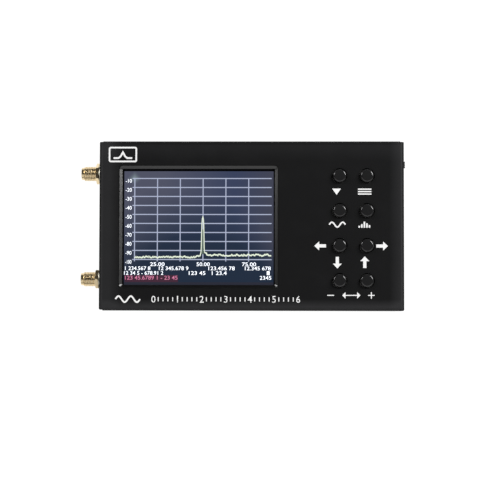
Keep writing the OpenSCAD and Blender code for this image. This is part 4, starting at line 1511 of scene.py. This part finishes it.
@dataclass
class Jacks:
    """Two gold coaxial jacks in the left wall, each with nut, washer, insulator and centre contact."""

    wall_x: float = -64.8
    upper_y: float = 23.65
    lower_y: float = -23.05
    z: float = 12.5
    wall: float = 1.2
    hole: float = 6.45
    thread: float = 6.35
    root: float = 6.0
    pitch: float = 0.7056
    neck: float = 5.6
    washer: float = 8.6
    washer_out: float = 2.75
    washer_rim: float = 0.4
    washer_taper: float = 0.45
    nut: float = 8.0
    nut_hole: float = 5.7
    nut_bevel: float = 0.25
    nut_turn: float = 30.0
    nut_out: float = 3.95
    thread_end: float = 9.08
    nose: float = 5.4
    nose_start: float = 9.35
    tip: float = 10.5
    socket: float = 4.6
    bore: float = 4.14
    insulator: float = 4.1
    contact_tip: float = 8.6
    contact: float = 1.27
    contact_bore: float = 0.94
    contact_deep: float = 3.0
    tail: float = 0.8
    tail_length: float = 3.0
    flange: float = 8.0
    flange_deep: float = 1.7
    leg: float = 1.2
    leg_length: float = 4.5
    board_top: float = 12.08
    board_bottom: float = 10.48
    board_gap: float = 0.02
    flange_break: float = 0.1
    washer_break: float = 0.08
    core_break: float = 0.05
    steps: int = 64

    @property
    def base(self) -> Vector:
        """Where the upper jack's axis meets the wall's inner face."""
        return Vector((self.wall_x, self.upper_y, self.z))

    @property
    def drop(self) -> Vector:
        """The way from the upper jack to the lower one."""
        return Vector((0.0, self.lower_y - self.upper_y, 0.0))

    def openings(self) -> list[Workpiece]:
        """Makes the tool solids of the two wall holes."""
        inner, outer, places = OUT * -2.0, OUT * 4.0, (self.base, self.base + self.drop)
        return [Workpiece.rod("jack_hole", self.hole, at + inner, at + outer, self.steps) for at in places]

    def build(self) -> None:
        """Makes the upper jack's pieces and copies them for the lower one."""
        gold, white = FINISHES[Slot.GOLD], FINISHES[Slot.INSULATOR]
        pairs = (
            (self._barrel(), "jack_barrel", gold, Slot.GOLD, ("upper_jack", "lower_jack")),
            (self._nut(), "jack_nut", gold, Slot.GOLD, ("jack_nuts", "jack_nuts")),
            (self._washer(), "jack_washer", BLASTED_GOLD, Slot.GOLD, ("jack_washers", "jack_washers")),
            (self._contact(), "jack_contact", gold, Slot.GOLD, ("jack_contacts", "jack_contacts")),
            (self._insulator(), "jack_core", white, Slot.INSULATOR, ("jack_insulators", "jack_insulators")),
        )
        for piece, name, finish, slot, nodes in pairs:
            piece.obj.name = f"upper_{name}"
            piece.copy(f"lower_{name}", self.drop).dress(finish, slot, [nodes[1]])
            # The two nuts came to rest at different angles
            if name == "jack_nut":
                piece.turn(self.nut_turn, "X", self.base)
            piece.dress(finish, slot, [nodes[0]])

    def _turn(self, name: str, section: Sequence[Point]) -> Workpiece:
        """Turns a closed section about the upper jack's axis, outwards from the wall's inner face."""
        return Workpiece.turned(name, section, self.base, OUT, self.steps, closed=True)

    def _barrel(self) -> Workpiece:
        """Makes a barrel: threaded outer part, plain inner part, flange and four legs.

        Returns:
            The barrel.
        """
        bore, thread = self.bore / 2, self.thread / 2
        inner = [(0.0, bore), (0.0, thread), (self.washer_out, thread), (self.washer_out, self.neck / 2)]
        lap = 0.2
        inner += [(self.nut_out + lap, self.neck / 2), (self.nut_out + lap, bore)]
        return Workpiece.union(
            "barrel", [self._threaded_end(), self._turn("neck", inner).soften(0.0), *self._flange()]
        )

    def _threaded_end(self) -> Workpiece:
        """Winds the thread, trims it to the turned outline of the free end, and bores the socket.

        Returns:
            The free end.
        """
        crest, root, turns, steps = self.thread / 2, self.root / 2, 12, 48
        rise = ((0.05, root), (0.14, crest - 0.073), (0.2, crest - 0.026), (0.29, crest))
        fall = ((1.0 - share, radius) for share, radius in reversed(rise))
        period = [(0.0, root), *rise, *fall, (1.0, root)]
        thread = Workpiece.line("thread", [(share * self.pitch, 0.0, radius) for share, radius in period])
        winding = {"iterations": turns, "steps": steps, "render_steps": steps, "use_merge_vertices": True}
        thread.modify("SCREW", axis="X", screw_offset=self.pitch * MM, merge_threshold=1e-7, **winding)
        # The thread is wound along +X, so half a turn points it out of the wall
        thread.obj.rotation_euler = (0.0, 0.0, math.pi)
        thread.obj.location = metres(self.base + OUT * (self.nut_out - 2 * self.pitch))
        thread.settle()
        with thread.edit():
            thread.weld(FINE_WELD)
            inner_spare, outer_spare = 0.5, 0.3
            for reach, way in ((self.nut_out - inner_spare, -OUT), (self.tip + outer_spare, OUT)):
                thread.slice_off(self.base + OUT * reach, way)
            thread.weld(FINE_WELD)
        bore, socket, nose, over = self.bore / 2, self.socket / 2, self.nose / 2, 0.02
        nose_break, socket_break = 0.12, 0.14
        section = [
            (self.nut_out, bore),
            (self.nut_out, crest + over),
            (self.thread_end, crest + over),
            (self.nose_start, nose),
            (self.tip - nose_break, nose),
            (self.tip, nose - nose_break),
            (self.tip, socket + socket_break),
            (self.tip - socket_break, socket),
            (self.contact_tip, socket),
            (self.contact_tip, bore),
        ]
        return thread.shape(Cut.COMMON, self._turn("outline", section)).soften(0.0, angle=30.0)

    def _flange(self) -> list[Workpiece]:
        """Makes the square flange behind the wall and the legs that straddle the board's edge.

        Returns:
            The flange and its legs.
        """
        half, gap, x, y, z = self.flange / 2, self.board_gap, *self.base
        back = x + self.flange_deep
        flange = Workpiece.bar("flange", (x, back), (y, z), (self.flange, self.flange))
        drill = Workpiece.rod("drill", self.bore, self.base + OUT, self.base - OUT * 3, self.steps)
        pieces = [flange.shape(Cut.AWAY, drill).soften(self.flange_break)]
        for side in (-1, 1):
            leg_y = y + side * (half - self.leg / 2)
            for low, high in ((self.board_top + gap, z + half), (z - half, self.board_bottom - gap)):
                ends, size = (back, back + self.leg_length), (self.leg, high - low)
                leg = Workpiece.bar("leg", ends, (leg_y, (low + high) / 2), size)
                pieces.append(leg.soften(self.flange_break))
        return pieces

    def _nut(self) -> Workpiece:
        """Makes a hexagonal nut with turned corners.

        Returns:
            The nut.
        """
        corner = self.nut / 2 / math.cos(math.pi / 6)
        low, high, over, thread_break = self.washer_out, self.nut_out, 0.02, 0.3
        nut = Workpiece.rod("nut", 2 * corner, self.base + OUT * low, self.base + OUT * high, 6)
        bevel, hole = self.nut_bevel, self.nut_hole / 2
        section = [(low, hole), (low, corner - bevel), (low + bevel, corner + over)]
        section += [(high - bevel, corner + over), (high, corner - bevel)]
        section += [(high, hole + thread_break), (high - thread_break, hole)]
        return nut.shape(Cut.COMMON, self._turn("outline", section)).soften(0.0, angle=25.0)

    def _washer(self) -> Workpiece:
        """Makes a round washer.

        Returns:
            The washer.
        """
        rim = self.washer / 2
        section = [(self.wall, self.hole / 2), (self.wall, rim), (self.wall + self.washer_rim, rim)]
        section += [(self.washer_out, rim - self.washer_taper), (self.washer_out, self.hole / 2)]
        return self._turn("washer", section).soften(self.washer_break)

    def _insulator(self) -> Workpiece:
        """Makes the white tube round the centre contact.

        Returns:
            The tube.
        """
        outer, inner = self.insulator / 2, self.contact / 2 + self.board_gap
        section = [(-self.flange_deep, inner), (-self.flange_deep, outer)]
        section += [(self.contact_tip, outer), (self.contact_tip, inner)]
        return self._turn("core", section).soften(self.core_break)

    def _contact(self) -> Workpiece:
        """Makes the centre contact with its slotted socket and its tail.

        Returns:
            The contact.
        """
        radius, bore, tail = self.contact / 2, self.contact_bore / 2, self.tail / 2
        back, tip, bottom = -self.flange_deep, self.contact_tip, self.contact_tip - self.contact_deep
        tail_end, tail_break = back - self.tail_length, 0.1
        tip_break, taper, mouth, lead_in = 0.1, 0.06, 0.04, 0.2
        section = [
            (tail_end, 0.0),
            (tail_end, tail - tail_break),
            (tail_end + tail_break, tail),
            (back, tail),
            (back, radius),
            (tip - tip_break, radius),
            (tip, radius - taper),
            (tip, bore + mouth),
            (tip - lead_in, bore),
            (bottom, bore),
            (bottom - lead_in, 0.0),
        ]
        contact = Workpiece.turned("contact", section, self.base, OUT, self.steps // 2)
        slot, deep, wide, spare = 0.16, 2.4, 4 * radius, 1.0
        x, y, z = self.base
        for size in ((slot, wide), (wide, slot)):
            saw = Workpiece.bar("saw", (x - tip - spare, x - tip + deep), (y, z), size)
            contact.shape(Cut.AWAY, saw)
        return contact.soften(0.0, angle=30.0)


@dataclass
class RightWall:
    """What the right wall holds: the power switch's knob and the charging socket."""

    wall_x: float = 66.0
    slot_y: float = 26.54
    slot_width: float = 5.3
    slot_height: float = 2.2
    slot_corner: float = 0.4
    knob_y: float = 27.54
    knob_z: float = 13.955
    knob_width: float = 2.8
    knob_height: float = 1.7
    knob_end: float = 67.5
    slider: tuple[float, float, float] = (2.3, 3.1, 1.95)
    socket_z: float = 13.71
    socket_width: float = 8.94
    socket_height: float = 3.26
    socket_wall: float = 0.3
    socket_length: float = 7.3
    socket_gap: float = 0.25
    tongue_width: float = 6.7
    tongue_height: float = 0.7
    tongue_start: float = 61.0
    tongue_end: float = 65.4
    fine_break: float = 0.06
    moulding_break: float = 0.08
    tongue_break: float = 0.12
    pad_break: float = 0.02

    def openings(self) -> list[Workpiece]:
        """Makes the tool solids of the two wall openings.

        Returns:
            The tools.
        """
        reach = 3.0
        ends, size = (self.wall_x - reach, self.wall_x + reach), (self.slot_width, self.slot_height)
        slot = Workpiece.bar("switch_slot", ends, (self.slot_y, self.knob_z), size)
        self._round_along_x(slot, self.slot_corner)
        return [slot, self._pill("socket_slot", ends, self.socket_gap)]

    def _round_along_x(self, piece: Workpiece, radius: float) -> Workpiece:
        """Rounds the four edges of a block that run along X.

        Args:
            piece: The block.
            radius: Their radius.

        Returns:
            The block.
        """
        with piece.edit():
            ends = [vertex.co.x for vertex in bmesh.from_edit_mesh(piece.obj.data).verts]
            mid_x = (min(ends) + max(ends)) / 2 / MM
            piece.pick(Kind.EDGE, lambda at, _: abs(at.x - mid_x) < TOUCH)
            piece.round_off(radius, segments=8)
        return piece

    def _pill(self, name: str, ends: tuple[float, float], grow: float) -> Workpiece:
        """Makes a bar of the socket's rounded outline along X.

        Args:
            name: The piece's name.
            ends: Its ends along X.
            grow: How far it is larger than the socket all round.

        Returns:
            The bar.
        """
        size = (self.socket_width + 2 * grow, self.socket_height + 2 * grow)
        bar = Workpiece.bar(name, ends, (0.0, self.socket_z), size)
        return self._round_along_x(bar, size[1] / 2 - TOUCH)

    def build(self) -> None:
        """Makes the knob, the socket's shell, its tongue and its contacts."""
        self._knob().dress(FINISHES[Slot.SWITCH], Slot.SWITCH, ["power_switch_knob"], "power_knob")
        self._socket_shell().dress(FINISHES[Slot.STEEL], Slot.STEEL, ["usb_shell"])
        self._tongue().dress(FINISHES[Slot.CONNECTOR], Slot.CONNECTOR, ["usb_tongue"])
        self._contacts().dress(FINISHES[Slot.GOLD], Slot.GOLD)

    def _knob(self) -> Workpiece:
        """Makes the slider with its ribbed knob.

        Returns:
            The knob.
        """
        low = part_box("power_switch_knob")[0] / MM
        slider = Workpiece.block("slider", low, low + Vector(self.slider)).soften(self.moulding_break)
        ends = (low.x + self.slider[0] / 2, self.knob_end)
        knob = Workpiece.bar("knob", ends, (self.knob_y, self.knob_z), (self.knob_width, self.knob_height))
        groove, deep, long, pitch, spare = 0.25, 0.25, 4.0, 0.75, 1.0
        ends, size = (self.knob_end - deep, self.knob_end + spare), (groove, long)
        for y in (self.knob_y - pitch, self.knob_y, self.knob_y + pitch):
            knob.shape(Cut.AWAY, Workpiece.bar("groove", ends, (y, self.knob_z), size))
        return Workpiece.union("power_slider", [slider, knob.soften(self.fine_break)])

    def _socket_shell(self) -> Workpiece:
        """Makes the socket's thin steel tube by insetting both ends of a bar and bridging them.

        Returns:
            The tube.
        """
        shell = self._pill("charging_shell", (self.wall_x - self.socket_length, self.wall_x), 0.0)
        with shell.edit():
            shell.pick(Kind.FACE, lambda at, face: abs(face.normal.x) > 0.9)
            shell.inset(self.socket_wall)
            bpy.ops.mesh.bridge_edge_loops()
            shell.weld()
        return shell.soften(self.fine_break)

    def _tongue(self) -> Workpiece:
        """Makes the moulded base and the tongue that stands out of it.

        Returns:
            The tongue.
        """
        ends, gap = (self.wall_x - self.socket_length, self.tongue_start), 0.02
        base = self._pill("base", ends, -self.socket_wall - gap).soften(self.moulding_break)
        ends, size = (self.tongue_start, self.tongue_end), (self.tongue_width, self.tongue_height)
        tongue = Workpiece.bar("tongue", ends, (0.0, self.socket_z), size).soften(self.tongue_break)
        return Workpiece.union("charging_tongue", [base, tongue])

    def _contacts(self) -> Workpiece:
        """Makes the rows of contacts on both faces of the tongue.

        Returns:
            The contacts.
        """
        count, pitch, size, from_base, from_tip = 12, 0.5, (0.26, 0.06), 0.4, 0.35
        ends = (self.tongue_start + from_base, self.tongue_end - from_tip)
        rows = []
        for face in (-1, 1):
            first = (-pitch * (count - 1) / 2, self.socket_z + face * self.tongue_height / 2)
            pad = Workpiece.bar("pad", ends, first, size).soften(self.pad_break)
            rows.append(pad.repeat(count, (0.0, pitch, 0.0)))
        return Workpiece.union("charging_contacts", rows)


@dataclass
class PanelPrint:
    """White printing on the panel: arrows, signs and plain scales."""

    z: float = 25.0
    ink: float = 0.02
    stroke: float = 0.62

    def build(self) -> None:
        """Prints everything as one layer of ink."""
        marks = [*self._arrows(), *self._signs(), *self._key_signs(), *self._badge(), *self._scale()]
        Workpiece.union("panel_printing", marks).dress(INK_WITH_PAINTED_GLOW, Slot.COAT)

    def _shape(self, points: Sequence[tuple[float, float]]) -> Workpiece:
        """Prints a filled outline."""
        return Workpiece.outline("mark", [(x, y, self.z) for x, y in points], self.ink)

    def _bar(self, x0: float, y0: float, x1: float, y1: float) -> Workpiece:
        """Prints a filled rectangle."""
        return self._shape([(x0, y0), (x1, y0), (x1, y1), (x0, y1)])

    def _stroke(self, points: Sequence[tuple[float, float]], width: float) -> Workpiece:
        """Prints a line of constant width."""
        mark = Workpiece.ribbon("mark", [(x, y, self.z) for x, y in points], self.ink)
        return mark.modify("SOLIDIFY", thickness=width * MM, offset=0.0, use_even_offset=True)

    def _arrows(self) -> list[Workpiece]:
        """Prints the four arrows beside the lower keys.

        Returns:
            The marks.
        """
        head, half_head, length, half_shaft = 2.1, 1.94, 5.04, 0.69
        arrow = [(0.0, 0.0), (head, -half_head), (head, -half_shaft), (length, -half_shaft)]
        arrow += [(length, half_shaft), (head, half_shaft), (head, half_head)]
        tips = (((27.17, -8.67), 0), ((58.88, -8.72), 2), ((37.08, -18.42), 1), ((48.9, -13.15), 3))
        marks = []
        for tip, quarters in tips:
            turn = Matrix.Rotation(quarters * math.pi / 2, 2)
            marks.append(self._shape([turn @ Vector(point) + Vector(tip) for point in arrow]))
        return marks

    def _signs(self) -> list[Workpiece]:
        """Prints the minus, the plus and the double arrow between them.

        Returns:
            The marks.
        """
        y, half = -29.98, 0.21
        left, right = 32.75, 35.68
        minus = self._bar(left, y - half, right, y + half)
        mid, arm = 51.71, 1.4
        plus = [(-arm, -half), (-half, -half), (-half, -arm), (half, -arm), (half, -half), (arm, -half)]
        plus += [(-px, -py) for px, py in plus]
        left, right, head = 39.2, 47.0, 1.4
        double = [(left, y), (left + head, y - head), (left + head, y - half), (right - head, y - half)]
        double += [(right - head, y - head), (right, y), (right - head, y + head), (right - head, y + half)]
        double += [(left + head, y + half), (left + head, y + head)]
        return [minus, self._shape([(mid + px, y + py) for px, py in plus]), self._shape(double)]

    def _wave(
        self, ends: tuple[float, float], y: float, height: float, periods: float, width: float
    ) -> Workpiece:
        """Prints a sine wave.

        Args:
            ends: Its left and right end.
            y: Its middle line.
            height: Its height between crests.
            periods: How many waves.
            width: Width of its line.

        Returns:
            The mark.
        """
        to_a_period = 24
        steps = int(to_a_period * periods)
        shares = [step / steps for step in range(steps + 1)]
        (left, right), swing = ends, math.tau * periods
        points = [(left + (right - left) * at, y + height / 2 * math.sin(swing * at)) for at in shares]
        return self._stroke(points, width)

    def _key_signs(self) -> list[Workpiece]:
        """Prints a plain sign under each of the four upper keys.

        Returns:
            The marks.
        """
        x, y, half, down, up = 36.8, 14.8, 1.9, 1.4, 1.3
        marks = [self._shape([(x, y - down), (x + half, y + up), (x - half, y + up)])]
        left, right, half, apart = 46.0, 51.8, 0.27, 1.05
        for line_y in (y - apart, y, y + apart):
            marks.append(self._bar(left, line_y - half, right, line_y + half))
        y = 0.5
        marks.append(self._wave((33.6, 40.6), y, height=2.1, periods=1.5, width=self.stroke))
        left, base, width, pitch = 46.2, y - 1.3, 0.7, 1.1
        for number, height in enumerate((0.8, 1.5, 2.6, 1.9, 1.1)):
            x = left + pitch * number
            marks.append(self._bar(x, base, x + width, base + height))
        return marks

    def _badge(self) -> list[Workpiece]:
        """Prints the rounded box in the corner, with a plain peak in it.

        Returns:
            The marks.
        """
        left, right, bottom, top, line, corner = -61.9, -49.6, 27.5, 34.2, 0.7, 0.9
        mid_x, mid_y = (left + right) / 2, (bottom + top) / 2
        box = Workpiece.plane("mark", (right - left, top - bottom), (mid_x, mid_y, self.z))
        with box.edit():
            box.round_off(corner, segments=6, corners=True)
            box.pick(Kind.FACE, lambda at, face: True)
            box.inset(line)
            bpy.ops.mesh.delete(type="FACE")
            box.weld()
            box.extrude(UP * self.ink)
            box.weld()
        base, width = 29.3, 0.75
        rise = ((-4.05, 0.0), (-1.9, 0.0), (-1.0, 0.7), (0.0, 2.5), (1.0, 0.7), (1.9, 0.0), (4.05, 0.0))
        return [box, self._stroke([(mid_x + x, base + y) for x, y in rise], width)]

    def _scale(self) -> list[Workpiece]:
        """Prints the wave sign and the numbered scale under the display.

        Returns:
            The marks.
        """
        y, tall = -31.8, 2.9
        marks = [self._wave((-58.6, -48.0), y, height=2.6, periods=2.0, width=0.7)]
        left, step, count, ticks, aside, up = -42.2, 10.4, 7, 4, 0.2, 0.9
        for number in range(count):
            x = left + step * number
            marks.append(Workpiece.number("mark", str(number), (0.0, tall), (x, y, self.z), self.ink))
            ticks_here = ticks if number < count - 1 else 0
            for tick in range(1, ticks_here + 1):
                tick_x = x + step / (ticks + 1) * tick
                marks.append(self._bar(tick_x - aside, y - up, tick_x + aside, y + up))
        return marks


# Scene


@dataclass(frozen=True)
class Softbox:
    """A rectangular light that faces the panel, by its direction in degrees: from +X towards +Y, and up."""

    name: str
    azimuth: float
    elevation: float
    size: tuple[float, float]
    watts: float
    distance: float = 900.0
    target: tuple[float, float, float] = (0.0, 0.0, 25.0)

    def build(self) -> None:
        """Hangs the softbox."""
        stand_clear()
        around, rise = math.radians(self.azimuth), math.radians(self.elevation)
        out = Vector((math.cos(around) * math.cos(rise), math.sin(around) * math.cos(rise), math.sin(rise)))
        bpy.ops.object.light_add(
            type="AREA",
            location=metres(Vector(self.target) + out * self.distance),
            rotation=out.to_track_quat("Z", "Y").to_euler(),
        )
        light = bpy.context.active_object
        light.name = self.name
        light.data.shape = "RECTANGLE"
        light.data.size, light.data.size_y = metres((*self.size, 0.0))[:2]
        light.data.energy = self.watts


SOFTBOXES = (
    Softbox("right_light", 32.0, 30.0, (420.0, 420.0), 7.5),
    Softbox("left_light", 151.0, 27.0, (370.0, 370.0), 3.4),
    Softbox("near_light", 268.0, 46.0, (3000.0, 900.0), 6.4),
)


@dataclass
class Studio:
    """Floor, lights and camera."""

    camera_at: tuple[float, float, float] = (7.348, -30.425, 542.442)
    camera_turn: tuple[float, float, float] = (2.2062, 0.871, 0.1192)
    lens: float = 86.4
    sensor: float = 36.0
    nearest: float = 0.01
    floor_size: float = 60000.0
    floor_fibre: float = 3.0
    floor_tints: tuple[Colour, Colour] = ((0.15, 0.15, 0.15), (0.17, 0.17, 0.17))
    floor_light: float = 0.97
    world_light: float = 0.01
    wall_light: float = 1.02

    def build(self) -> None:
        """Sets up the whole studio."""
        self._camera()
        self._floor()
        self._world()
        for softbox in SOFTBOXES:
            softbox.build()

    def _camera(self) -> None:
        """Places the camera where the photograph was taken from."""
        stand_clear()
        turn = Euler([math.radians(angle) for angle in self.camera_turn])
        bpy.ops.object.camera_add(location=metres(self.camera_at), rotation=turn)
        camera = bpy.context.active_object
        camera.name = "photo_camera"
        camera.data.lens = self.lens
        camera.data.sensor_width = self.sensor
        camera.data.clip_start = self.nearest
        bpy.context.scene.camera = camera
        bpy.context.scene.view_settings.view_transform = "Standard"

    def _floor(self) -> None:
        """Lays a plain, pale floor."""
        floor = Workpiece.plane("floor", (self.floor_size, self.floor_size), (0.0, 0.0, 0.0))
        paper = bpy.data.materials.new("floor_paper")
        graph = Graph(paper)
        graph.surface(
            Base_Color=graph.blend(graph.noise(self.floor_fibre), *self.floor_tints),
            Roughness=0.9,
            Emission_Color=(1.0, 1.0, 1.0),
            Emission_Strength=self.floor_light,
            Specular_IOR_Level=0.1,
        )
        floor.obj.data.materials.append(paper)

    def _world(self) -> None:
        """Sets the dim light all round, in front of a wall as pale as the floor."""
        world = bpy.data.worlds.new("studio")
        graph = Graph(world)
        seen = graph.node("ShaderNodeLightPath", output="Is Camera Ray")
        graph.surface(Color=(1.0, 1.0, 1.0), Strength=graph.between(seen, self.world_light, self.wall_light))
        bpy.context.scene.world = world


def dress_frame() -> None:
    """Gives every CAD node the finish of its slot."""
    for subpart in frame["record"]["subparts"]:
        finish = FINISHES[Slot(subpart["material_slot"])]
        for holder in frame["nodes"][subpart["node"]].material_slots:
            holder.material = finish.material()


def main() -> None:
    """Builds the instrument in its studio."""
    logging.basicConfig(level=logging.INFO, format="%(name)s: %(message)s")
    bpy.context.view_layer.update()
    Studio().build()
    dress_frame()
    display, keypad, jacks, right_wall = Display(), Keypad(), Jacks(), RightWall()
    openings = [display.opening(), *keypad.openings(), *jacks.openings(), *right_wall.openings()]
    Shell().build(openings)
    for assembly in (display, keypad, jacks, right_wall, PanelPrint()):
        assembly.build()
        LOG.info("%s built", type(assembly).__name__)


if __name__ == "__main__":
    main()
